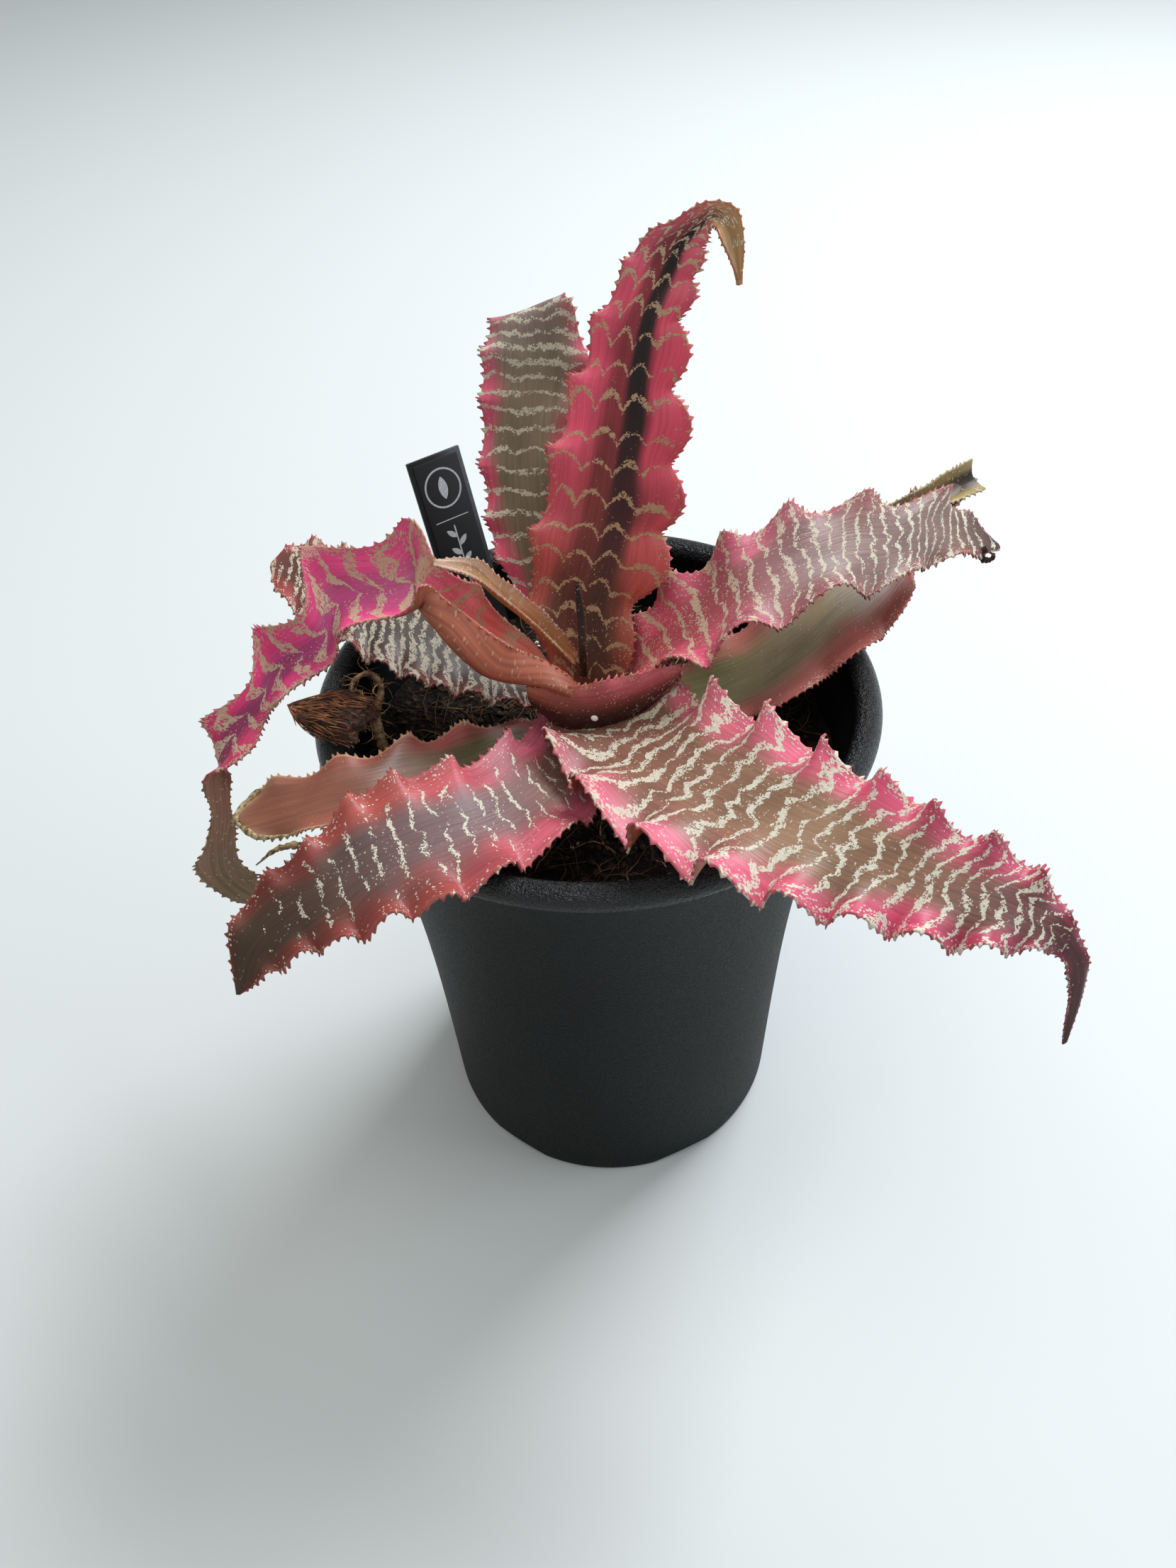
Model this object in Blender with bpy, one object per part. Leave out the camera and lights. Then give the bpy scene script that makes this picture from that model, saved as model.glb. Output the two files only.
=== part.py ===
"""Potted bromeliad: an earth star in a black nursery pot, with its soil and plant label.

Units are metres and +Z is up. The origin is on the pot's axis, on the surface that the pot stands on.
Places on the plant are in millimetres from the centre of the rim's top, (x, y, height above the rim), for a
rim 140 mm across. They spread with the rim, so that the leaves still clear it at another size.
"""
import math

import bmesh
import bpy
import numpy as np
from mathutils import Matrix, Vector

MM = 0.001

# Pot
RIM_DIAMETER = 0.140
POT_HEIGHT = 0.152
BASE_DIAMETER = 0.1015
WALL = 0.0016
BEAD_DIAMETER = 0.0065
WALL_INSET = 0.0015            # how far the wall's outside stays inside the bead's
WALL_TAPER = 0.030             # radius gained per metre of height, below the flare
FLARE_POWER = 4                # the flare is all near the top
PARTING_LINE_DROP = 0.0043     # from the rim's top to the line where bead and wall meet
PARTING_GROOVE = 0.0004
FOOT_HEIGHT = 0.003            # how far the base plate stands above the foot ring
FOOT_WIDTH = 0.010
PAD_RADIUS = 0.012
BASE_PLATE = 0.0015
DRAINS = 6
DRAIN_DIAMETER = 0.008
NOTCH_WIDTH = 0.020
NOTCH_HEIGHT = 0.0025
FIRST_NOTCH = math.radians(-67)
TURNS = 48                     # facets round the pot

# Soil and stem
SOIL_DROP = 0.020              # from the rim's top to the soil
SOIL_LUMP = 0.0012
STEM_DIAMETER = 0.008
STEM_DEPTH = 0.022             # how much of the stem is in the soil
CROWN = (-2, 3, -8)            # the top of the stem, on the plant

# Leaves
LEAF_THICKNESS = 0.0011
LEAF_STRIPS = 4                # facets across a leaf
STEPS_PER_STATION = 2          # facets along a leaf, between two of its stations

# Label
LABEL_WIDTH = 0.0159
LABEL_LENGTH = 0.120
LABEL_THICKNESS = 0.0010
LABEL_POINT = 0.018
LABEL_TOP = (-40, 59, 32)
LABEL_FOOT = (-0.018, 0.029, -0.082)    # the stake leans towards here, from the middle of the rim
LABEL_ACROSS = (0.84, 0.54, 0.017)
STICKER_MARGIN = 0.0013
STICKER_LENGTH = 0.046
STICKER_THICKNESS = 0.0003

GAP = 0.0003                   # between pieces that touch

RIM_RADIUS = RIM_DIAMETER / 2
BASE_RADIUS = BASE_DIAMETER / 2
BEAD_RADIUS = BEAD_DIAMETER / 2
FLOOR_TOP = FOOT_HEIGHT + BASE_PLATE
SOIL_TOP = POT_HEIGHT - SOIL_DROP
SPREAD = RIM_DIAMETER / 0.140

BLACK_PLASTIC = (0.016, 0.018, 0.019)
POTTING_MIX = (0.020, 0.013, 0.009)
COIR = (0.20, 0.09, 0.04)

# Each leaf is a strip between its two margins, hollowed along the middle. The margins have a point at each
# station from base to tip; left and right are as seen from the base, upper face up. "hollow" is how far the
# middle lies below the margins, in millimetres, at points spread evenly from base to tip.
LEAVES = {
    "leaf_front_right": {
        "left": [(5, -3, -9), (12, -4, -1), (21, -8, 4), (31, -22, 11), (42, -38, 15), (51, -50, 16),
                 (62, -57, 14), (72, -63, 9), (84, -65, 3), (92, -70, -4), (97, -76, -11),
                 (100, -80, -20), (98, -86, -37)],
        "right": [(-7, -4, -10), (-13, -11, -4), (-9, -31, 1), (1, -54, 6), (14, -68, 8), (28, -77, 8),
                  (41, -81, 5), (55, -82, 0), (68, -83, -5), (82, -81, -10), (91, -79, -14),
                  (96, -81, -21), (97, -86, -38)],
        "hollow": [2, 5, 3, 2, 1, 0, 0],
        "colour": (0.30, 0.14, 0.12)},
    "leaf_front_left": {
        "left": [(0, -7, -16), (3, -22, -9), (-5, -45, -3), (-18, -60, 2), (-30, -69, 3), (-42, -72, 1),
                 (-53, -73, -4), (-63, -72, -9), (-72, -73, -14), (-80, -75, -19)],
        "right": [(-8, -2, -16), (-15, -5, -8), (-23, -20, 0), (-33, -32, 5), (-46, -37, 7),
                  (-56, -43, 6), (-65, -52, 2), (-74, -56, -3), (-82, -64, -10), (-81, -75, -19)],
        "hollow": [2, 3, 2, 1, 1, 0],
        "colour": (0.24, 0.09, 0.09)},
    "leaf_low_left": {
        "left": [(-9, -4, -17), (-21, -15, -12), (-31, -29, -7), (-41, -38, -2), (-50, -43, 1),
                 (-60, -46, 2), (-70, -46, -1), (-78, -43, -4), (-83, -38, -5)],
        "right": [(-11, 1, -16), (-23, 0, -11), (-34, -8, -6), (-43, -16, -1), (-52, -24, 3),
                  (-62, -28, 3), (-72, -29, 1), (-80, -31, -2), (-84, -36, -4)],
        "hollow": [2, 2, 1, 1, 0],
        "colour": (0.30, 0.09, 0.06)},
    "leaf_arching_left": {
        "left": [(-7, -2, -5), (-16, -6, 9), (-25, -6, 19), (-32, -5, 27), (-38, -4, 32), (-45, -6, 28),
                 (-58, -2, 22), (-63, -6, 14), (-75, -5, 6), (-80, -6, 1), (-83, -9, -4),
                 (-91, -14, -9), (-98, -14, -12), (-98, -17, -21), (-101, -23, -29), (-103, -26, -36),
                 (-95, -29, -42), (-86, -27, -46)],
        "right": [(-8, 4, -4), (-18, 7, 13), (-27, 9, 22), (-34, 10, 31), (-41, 16, 36), (-53, 18, 34),
                  (-68, 20, 28), (-72, 9, 21), (-82, 9, 13), (-86, 0, 6), (-96, -4, -2), (-96, -8, -9),
                  (-93, -11, -15), (-93, -16, -21), (-93, -21, -28), (-91, -24, -36), (-88, -26, -41),
                  (-85, -26, -46)],
        "hollow": [4, 9, 8, 5, 3, 1, 0, 0, 0],
        "colour": (0.48, 0.10, 0.20)},
    "leaf_back_left": {
        "left": [(-9, 2, -16), (-17, 3, -9), (-26, 1, -5), (-36, 2, -2), (-46, 4, 1), (-57, 9, 4),
                 (-66, 17, 6), (-77, 27, 7), (-84, 38, 7), (-86, 45, 8)],
        "right": [(-7, 9, -15), (-12, 18, -7), (-22, 24, -1), (-33, 31, 4), (-44, 37, 7), (-55, 42, 9),
                  (-65, 49, 10), (-73, 53, 11), (-81, 52, 11), (-86, 47, 9)],
        "hollow": [2, 2, 1, 1, 0],
        "colour": (0.15, 0.08, 0.07)},
    "leaf_right": {
        "left": [(6, 5, -6), (11, 13, 6), (16, 17, 15), (27, 18, 22), (38, 20, 29), (50, 24, 31),
                 (65, 29, 30), (79, 33, 27), (93, 41, 23), (100, 43, 16), (109, 39, 8)],
        "right": [(3, -2, -7), (8, -3, 3), (18, -9, 11), (26, -12, 16), (36, -8, 20), (48, -4, 21),
                  (60, 4, 21), (72, 9, 18), (86, 23, 14), (99, 31, 10), (109, 36, 8)],
        "hollow": [2, 5, 3, 1, 0, 0],
        "colour": (0.45, 0.10, 0.12)},
    "leaf_right_under": {
        "left": [(5, 6, -16), (17, 14, -10), (30, 18, -4), (41, 22, 1), (52, 30, 5), (62, 39, 8),
                 (73, 48, 9), (83, 58, 9), (92, 63, 9), (98, 67, 10), (108, 72, 11)],
        "right": [(6, -1, -17), (20, -3, -12), (32, -10, -6), (44, -10, -2), (55, -5, 1), (64, 2, 3),
                  (74, 9, 4), (83, 25, 4), (91, 41, 4), (101, 56, 6), (113, 72, 8)],
        "hollow": [2, 3, 2, 1, 1, 1],
        "colour": (0.20, 0.17, 0.09)},
    "leaf_upright_centre": {
        "left": [(-9, 6, -1), (-15, 10, 15), (-14, 15, 29), (-10, 21, 42), (-6, 27, 54), (-1, 33, 64),
                 (4, 39, 74), (10, 44, 82), (15, 48, 88), (24, 50, 91), (32, 49, 94), (37, 46, 91),
                 (38, 43, 78)],
        "right": [(3, 6, -2), (10, 10, 8), (17, 15, 23), (21, 21, 36), (23, 27, 50), (23, 33, 61),
                  (24, 39, 72), (27, 44, 79), (29, 48, 86), (31, 50, 88), (33, 47, 91), (36, 44, 90),
                  (37, 43, 78)],
        "hollow": [1, 4, 4, 3, 2, 1, 1],
        "colour": (0.42, 0.07, 0.10)},
    "leaf_upright_back": {
        "left": [(-12, 13, -1), (-19, 20, 13), (-24, 27, 25), (-25, 34, 36), (-25, 41, 47),
                 (-24, 46, 56), (-23, 51, 63), (-21, 57, 66), (-18, 65, 58)],
        "right": [(-3, 14, -1), (-4, 21, 13), (-4, 27, 25), (-4, 34, 36), (-2, 41, 47), (1, 47, 55),
                  (2, 52, 61), (0, 58, 65), (-5, 65, 58)],
        "hollow": [1, 2, 2, 1, 0],
        "colour": (0.20, 0.14, 0.09)},
    "leaf_inner": {
        "left": [(-5, 2, 4), (-9, 1, 11), (-14, 1, 18), (-20, 1, 25), (-27, 1, 32), (-36, 1, 36)],
        "right": [(-4, 5, 5), (-8, 5, 13), (-13, 5, 20), (-20, 6, 27), (-27, 6, 34), (-36, 3, 36)],
        "hollow": [1, 3, 3, 2, 0],
        "colour": (0.42, 0.17, 0.06)},
}
SLIVER = {
    "left": [(-4, 3, 0), (-4, 3, 8), (-4, 6, 16), (-4, 8, 24)],
    "right": [(-2, 3, 0), (-2, 3, 8), (-2, 6, 16), (-3, 8, 24)],
    "hollow": [0, 0],
    "colour": (0.05, 0.03, 0.02)}
SLIVER_THICKNESS = 0.0006

DEAD_ROOT = [(-55, -3, -17), (-56, -1, -12), (-56, 1, -7), (-54, 4, -1), (-57, 7, 1), (-61, 5, 0),
             (-62, 1, -4), (-60, 0, -7)]
DEAD_ROOT_WIDTHS = [0.0034, 0.0032, 0.0026, 0.0018, 0.0015, 0.0013, 0.0012, 0.0010]
COIR_MIDDLE = (-64, -12, 4)
COIR_SIZE = (0.022, 0.013, 0.006)
COIR_TURN = math.radians(-28)
COIR_TILT = math.radians(-6)
PERLITE_MIDDLE = (-1, -12, -1)
PERLITE_DIAMETER = 0.0022


def clear_scene():
    for thing in list(bpy.data.objects):
        bpy.data.objects.remove(thing, do_unlink=True)


def material(name, colour, roughness):
    finish = bpy.data.materials.new(name)
    finish.use_nodes = True
    shader = finish.node_tree.nodes["Principled BSDF"]
    shader.inputs["Base Color"].default_value = (*colour, 1)
    shader.inputs["Roughness"].default_value = roughness
    shader.inputs["Metallic"].default_value = 0
    return finish


def add_object(name, data, finish):
    thing = bpy.data.objects.new(name, data)
    data.materials.append(finish)
    bpy.context.scene.collection.objects.link(thing)
    return thing


def object_from(bm, name, finish, smooth_angle=40):
    """Close the bmesh into a named object, with its faces turned outwards."""
    bmesh.ops.recalc_face_normals(bm, faces=bm.faces)
    mesh = bpy.data.meshes.new(name)
    bm.to_mesh(mesh)
    bm.free()
    mesh.shade_smooth()
    mesh.set_sharp_from_angle(angle=math.radians(smooth_angle))
    return add_object(name, mesh, finish)


def from_rim(place):
    """A place on the plant, in metres."""
    return Vector((place[0] * MM * SPREAD, place[1] * MM * SPREAD, POT_HEIGHT + place[2] * MM))


def turned(profile, turns=TURNS):
    """Turn a profile of (radius, height) points, whose ends are on the axis, once round the axis."""
    bm = bmesh.new()
    verts = [bm.verts.new((radius, 0, height)) for radius, height in profile]
    edges = [bm.edges.new(pair) for pair in zip(verts, verts[1:])]
    bmesh.ops.spin(bm, geom=verts + edges, cent=(0, 0, 0), axis=(0, 0, 1), angle=math.tau, steps=turns,
                   use_merge=True)
    bmesh.ops.remove_doubles(bm, verts=bm.verts, dist=1e-6)
    return bm


def wall_radius(height):
    """Radius of the pot's outside: a slight taper, and a flare near the top."""
    flare = RIM_RADIUS - WALL_INSET - BASE_RADIUS - WALL_TAPER * POT_HEIGHT
    return BASE_RADIUS + WALL_TAPER * height + flare * (height / POT_HEIGHT) ** FLARE_POWER


def arc(middle, radius, start, end, steps):
    angles = np.linspace(math.radians(start), math.radians(end), steps + 1)
    return [(middle[0] + radius * math.cos(a), middle[1] + radius * math.sin(a)) for a in angles]


def heights(bottom, top, steps):
    """Heights from bottom to top, closer together near the top, where the wall flares."""
    return [bottom + (top - bottom) * (1 - (1 - share) ** 1.6) for share in np.linspace(0, 1, steps + 1)]


def inside_heights():
    """Heights of the facets up the inside of the pot's wall, to under the bead."""
    return heights(FLOOR_TOP, POT_HEIGHT - 1.5 * BEAD_RADIUS - WALL, 8)


def inside_radius(height):
    """Radius of the pot's faceted inside, for what fills it."""
    levels = inside_heights()
    return float(np.interp(height, levels, [wall_radius(level) - WALL for level in levels]))


def cut(thing, cutter_bm, name):
    """Take the cutter's shape out of the thing."""
    bmesh.ops.recalc_face_normals(cutter_bm, faces=cutter_bm.faces)
    mesh = bpy.data.meshes.new(name)
    cutter_bm.to_mesh(mesh)
    cutter_bm.free()
    cutter = bpy.data.objects.new(name, mesh)
    bpy.context.scene.collection.objects.link(cutter)
    cutter.hide_render = True
    cutter.display_type = "WIRE"
    modifier = thing.modifiers.new(name, "BOOLEAN")
    modifier.operation = "DIFFERENCE"
    modifier.solver = "EXACT"
    modifier.object = cutter


def make_pot():
    bead = (RIM_RADIUS - BEAD_RADIUS, POT_HEIGHT - BEAD_RADIUS)
    parting = POT_HEIGHT - PARTING_LINE_DROP
    below_groove = parting - 2 * PARTING_GROOVE
    wall_heights = heights(BASE_PLATE, below_groove, 9)
    outside = [(wall_radius(h), h) for h in reversed(wall_heights)]
    inside = [(inside_radius(h), h) for h in inside_heights()]
    profile = [(0, FLOOR_TOP)] + inside + arc(bead, BEAD_RADIUS, 195, -25, 8)
    profile += [(RIM_RADIUS - WALL_INSET - PARTING_GROOVE, parting)] + outside
    foot_inside = BASE_RADIUS - FOOT_WIDTH
    profile += [(BASE_RADIUS - BASE_PLATE, 0), (foot_inside, 0), (foot_inside, FOOT_HEIGHT)]
    profile += [(PAD_RADIUS, FOOT_HEIGHT), (PAD_RADIUS, 0), (0, 0)]
    pot = object_from(turned(profile), "pot", material("black_plastic", BLACK_PLASTIC, 0.5))
    notches = bmesh.new()
    holes = bmesh.new()
    drain_ring = (PAD_RADIUS + foot_inside) / 2
    for number in range(DRAINS):
        turn = Matrix.Rotation(FIRST_NOTCH + number * math.tau / DRAINS, 4, "Z")
        add_notch(notches, turn)
        place = turn @ Matrix.Translation((drain_ring, 0, FOOT_HEIGHT))
        bmesh.ops.create_cone(holes, cap_ends=True, segments=16, radius1=DRAIN_DIAMETER / 2,
                              radius2=DRAIN_DIAMETER / 2, depth=4 * BASE_PLATE, matrix=place)
    cut(pot, notches, "notch_cutter")
    cut(pot, holes, "drain_cutter")


def add_notch(bm, turn):
    """A low arch that runs out through the foot ring."""
    start = BASE_RADIUS - FOOT_WIDTH - PAD_RADIUS / 2
    end = BASE_RADIUS + PAD_RADIUS / 2
    half = NOTCH_WIDTH / 2
    below = -NOTCH_HEIGHT
    outline = [(half, below)]
    outline += [(half * math.cos(a), NOTCH_HEIGHT * math.sin(a)) for a in np.linspace(0, math.pi, 9)]
    outline += [(-half, below)]
    front = [bm.verts.new(turn @ Vector((start, across, up))) for across, up in outline]
    face = bm.faces.new(front)
    pulled = bmesh.ops.extrude_face_region(bm, geom=[face])
    moved = [item for item in pulled["geom"] if isinstance(item, bmesh.types.BMVert)]
    bmesh.ops.translate(bm, verts=moved, vec=turn.to_3x3() @ Vector((end - start, 0, 0)))


def label_frame():
    """Label axes: across, towards the back and up along the stake; origin at the middle of its top."""
    foot = Vector(LABEL_FOOT) + Vector((0, 0, POT_HEIGHT))
    up = (from_rim(LABEL_TOP) - foot).normalized()
    across = Vector(LABEL_ACROSS)
    across = (across - up * across.dot(up)).normalized()
    back = up.cross(across)
    turn = Matrix((across, back, up)).transposed().to_4x4()
    return Matrix.Translation(from_rim(LABEL_TOP)) @ turn


def stake_outline(margin=0):
    half = LABEL_WIDTH / 2 + margin
    end = -LABEL_LENGTH - 3 * margin
    return [(-half, 0), (-half, end + LABEL_POINT), (0, end), (half, end + LABEL_POINT), (half, 0)]


def plate(outline, thickness, middle, place):
    """A flat plate with an outline of (across, up) points, lying across the frame's second axis."""
    bm = bmesh.new()
    face = bm.faces.new([bm.verts.new((x, middle - thickness / 2, z)) for x, z in outline])
    pulled = bmesh.ops.extrude_face_region(bm, geom=[face])
    moved = [item for item in pulled["geom"] if isinstance(item, bmesh.types.BMVert)]
    bmesh.ops.translate(bm, verts=moved, vec=(0, thickness, 0))
    bmesh.ops.transform(bm, matrix=place, verts=bm.verts)
    return bm


def make_label():
    place = label_frame()
    stake = plate(stake_outline(), LABEL_THICKNESS, 0, place)
    object_from(stake, "label_stake", material("label_plastic", (0.012, 0.012, 0.013), 0.45))
    half = LABEL_WIDTH / 2 - STICKER_MARGIN
    top, bottom = -STICKER_MARGIN, -STICKER_LENGTH
    outline = [(-half, top), (-half, bottom), (half, bottom), (half, top)]
    in_front = -(LABEL_THICKNESS + STICKER_THICKNESS) / 2 - GAP
    sticker = plate(outline, STICKER_THICKNESS, in_front, place)
    object_from(sticker, "label_sticker", material("label_paper", (0.03, 0.03, 0.032), 0.7))


def lump(x, y):
    """Height of the soil's lumps at a place, between -1 and 1."""
    x, y = x / MM, y / MM
    return (math.sin(0.31 * x + 1.1) * math.cos(0.27 * y) + 0.6 * math.sin(0.55 * y + 0.23 * x)) / 1.6


def make_soil():
    bottom = FLOOR_TOP + GAP
    levels = [bottom] + [h for h in inside_heights() if bottom < h < SOIL_TOP] + [SOIL_TOP]
    side = [(inside_radius(h) - 2 * GAP, h) for h in levels]
    edge = side[-1][0]
    top = [(edge * share, SOIL_TOP) for share in (0.93, 0.8, 0.66, 0.52, 0.38, 0.22)]
    bm = turned([(0, bottom)] + side + top + [(0, SOIL_TOP)])
    for vert in bm.verts:
        if vert.co.z > SOIL_TOP - 1e-6 and vert.co.xy.length < 0.95 * edge:
            vert.co.z += SOIL_LUMP * lump(vert.co.x, vert.co.y)
    soil = object_from(bm, "soil", material("potting_mix", POTTING_MIX, 0.95))
    pocket = bmesh.new()
    middle = from_rim(CROWN)
    middle.z = SOIL_TOP - STEM_DEPTH / 2 + 2 * SOIL_LUMP
    radius = STEM_DIAMETER / 2 + GAP
    bmesh.ops.create_cone(pocket, cap_ends=True, segments=24, radius1=radius, radius2=radius,
                          depth=STEM_DEPTH + 4 * SOIL_LUMP + 2 * GAP, matrix=Matrix.Translation(middle))
    cut(soil, pocket, "stem_pocket")
    cut(soil, plate(stake_outline(GAP), LABEL_THICKNESS + 2 * GAP, 0, label_frame()), "label_slot")


def make_stem():
    """A short stem from its depth in the soil up to the crown, where it tapers between the leaves."""
    radius = STEM_DIAMETER / 2
    crown = from_rim(CROWN)
    bottom = SOIL_TOP - STEM_DEPTH
    length = crown.z - bottom
    profile = [(0, 0), (0.7 * radius, 0), (radius, 0.2 * STEM_DEPTH), (radius, length - 2 * radius),
               (0.7 * radius, length - 0.7 * radius), (0.3 * radius, length), (0, length)]
    bm = turned(profile, turns=20)
    bmesh.ops.translate(bm, verts=bm.verts, vec=(crown.x, crown.y, bottom))
    object_from(bm, "stem", material("leaf_base", (0.30, 0.22, 0.10), 0.6))


def along_curve(points, where):
    """A smooth curve through the points; where runs from 0 at the first to 1 at the last."""
    points = np.array(points, float)
    if points.ndim == 1:
        points = points[:, None]
    padded = np.vstack([2 * points[0] - points[1], points, 2 * points[-1] - points[-2]])
    place = min(max(where, 0), 1) * (len(points) - 1)
    index = min(int(place), len(points) - 2)
    t = place - index
    a, b, c, d = padded[index:index + 4]
    square, cube = 2 * a - 5 * b + 4 * c - d, 3 * b - a - 3 * c + d
    return 0.5 * (2 * b + (c - a) * t + square * t ** 2 + cube * t ** 3)


def blade_point(leaf, along, across):
    """A place on a leaf's middle surface; along is 0 to 1 from base to tip, across is -1 to 1."""
    left = along_curve(leaf["left"], along)
    right = along_curve(leaf["right"], along)
    step = 0.01
    ahead = sum(along_curve(leaf[side], min(along + step, 1)) for side in ("left", "right"))
    behind = sum(along_curve(leaf[side], max(along - step, 0)) for side in ("left", "right"))
    face = np.cross(right - left, ahead - behind)
    face /= np.linalg.norm(face)
    hollow = along_curve(leaf["hollow"], along)[0]
    return (left + right) / 2 + across * (right - left) / 2 - face * hollow * (1 - across ** 2)


def make_leaf(name, leaf, thickness=LEAF_THICKNESS, strips=LEAF_STRIPS):
    bm = bmesh.new()
    steps = STEPS_PER_STATION * (len(leaf["left"]) - 1)
    bmesh.ops.create_grid(bm, x_segments=strips, y_segments=steps, size=1)
    for vert in bm.verts:
        vert.co = from_rim(blade_point(leaf, (vert.co.y + 1) / 2, vert.co.x))
    mesh = bpy.data.meshes.new(name)
    bm.to_mesh(mesh)
    bm.free()
    mesh.shade_smooth()
    thing = add_object(name, mesh, material(name + "_skin", leaf["colour"], 0.5))
    solid = thing.modifiers.new("thickness", "SOLIDIFY")
    solid.thickness = thickness
    solid.offset = 0


def make_dead_root():
    curve = bpy.data.curves.new("dead_root", "CURVE")
    curve.dimensions = "3D"
    curve.bevel_depth = 0.5
    curve.bevel_resolution = 1
    curve.use_fill_caps = True
    spline = curve.splines.new("POLY")
    count = 3 * len(DEAD_ROOT)
    spline.points.add(count - 1)
    for point, where in zip(spline.points, np.linspace(0, 1, count)):
        point.co = (*from_rim(along_curve(DEAD_ROOT, where)), 1)
        point.radius = along_curve(DEAD_ROOT_WIDTHS, where)[0]
    add_object("dead_root", curve, material("dead_root_fibre", COIR, 0.9))


def make_coir_chunk():
    bm = bmesh.new()
    bmesh.ops.create_icosphere(bm, subdivisions=2, radius=0.5)
    for vert in bm.verts:
        x, y, z = vert.co * 2
        blunt = 1 / max(abs(x), abs(y), abs(z)) ** 0.6
        rough = 1 + 0.10 * math.sin(7 * x + 3 * y) * math.cos(5 * y - 4 * z)
        vert.co = Vector((x * COIR_SIZE[0], y * COIR_SIZE[1], z * COIR_SIZE[2])) * (blunt * rough / 2)
    turn = Matrix.Rotation(COIR_TURN, 4, "Z") @ Matrix.Rotation(COIR_TILT, 4, "Y")
    bmesh.ops.transform(bm, matrix=Matrix.Translation(from_rim(COIR_MIDDLE)) @ turn, verts=bm.verts)
    object_from(bm, "coir_chunk", material("coir", COIR, 0.95))


def make_perlite():
    bm = bmesh.new()
    bmesh.ops.create_icosphere(bm, subdivisions=1, radius=PERLITE_DIAMETER / 2,
                               matrix=Matrix.Translation(from_rim(PERLITE_MIDDLE)))
    object_from(bm, "perlite_bead", material("perlite", (0.80, 0.76, 0.68), 0.8))


def main():
    clear_scene()
    make_pot()
    make_soil()
    make_stem()
    for name, leaf in LEAVES.items():
        make_leaf(name, leaf)
    make_leaf("dried_sliver", SLIVER, thickness=SLIVER_THICKNESS, strips=1)
    make_label()
    make_dead_root()
    make_coir_chunk()
    make_perlite()


main()
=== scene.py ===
"""Potted bromeliad, an earth star in a black nursery pot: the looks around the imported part.

Units are metres and +Z is up. The leaves' margins are in millimetres from the centre of the rim's top, as
they are in the part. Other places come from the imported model's own boxes.
"""
import math
import random

import bmesh
import bpy
import numpy as np
from mathutils import Matrix, Vector, noise


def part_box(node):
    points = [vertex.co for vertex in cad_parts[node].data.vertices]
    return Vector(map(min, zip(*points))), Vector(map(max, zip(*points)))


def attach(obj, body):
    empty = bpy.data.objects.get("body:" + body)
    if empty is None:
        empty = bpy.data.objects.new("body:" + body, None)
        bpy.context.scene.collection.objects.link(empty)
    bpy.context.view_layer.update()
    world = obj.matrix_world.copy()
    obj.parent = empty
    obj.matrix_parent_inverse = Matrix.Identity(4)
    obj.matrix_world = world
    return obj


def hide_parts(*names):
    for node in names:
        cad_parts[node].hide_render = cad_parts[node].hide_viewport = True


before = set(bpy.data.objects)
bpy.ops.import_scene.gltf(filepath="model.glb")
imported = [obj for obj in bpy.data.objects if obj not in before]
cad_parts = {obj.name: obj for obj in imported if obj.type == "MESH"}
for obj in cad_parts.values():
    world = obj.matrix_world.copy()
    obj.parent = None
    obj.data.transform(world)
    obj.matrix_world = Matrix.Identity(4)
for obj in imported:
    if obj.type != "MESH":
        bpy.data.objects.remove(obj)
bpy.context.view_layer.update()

MM = 0.001
GAP = 0.3 * MM

POT_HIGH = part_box("pot")[1]
RIM_RADIUS = POT_HIGH.x
POT_HEIGHT = POT_HIGH.z
SOIL_TOP = POT_HEIGHT - 0.020
BASE_RADIUS = 0.1015 / 2
WALL = 0.0016
BEAD_RADIUS = 0.0065 / 2
WALL_INSET = 0.0015            # how far the wall's outside stays inside the bead's
WALL_TAPER = 0.030             # radius gained per metre of height, below the flare
FLARE_POWER = 4
PARTING_LINE_DROP = 0.0043     # from the rim's top to the line where bead and wall meet
PARTING_GROOVE = 0.0004
FOOT_HEIGHT = 0.003
FOOT_WIDTH = 0.010
PAD_RADIUS = 0.012
BASE_PLATE = 0.0015
HEEL_RADIUS = 0.0012
DRAINS = 6
DRAIN_RADIUS = 0.004
NOTCH_WIDTH = 0.020
NOTCH_HEIGHT = 0.0025
FIRST_NOTCH = math.radians(-67)

ACROSS = 36                    # faces across a leaf
ROW = 0.45                     # mm from one row of a leaf's faces to the next
TOOTH_ROWS = 4                 # rows from one spine to the next, so about 1.8 mm
TOOTH_LENGTH = 0.95            # mm
LEAF_THICKNESS = 1.1           # mm, along the middle
MARGIN_THICKNESS = 0.5         # share of that at the margin

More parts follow.
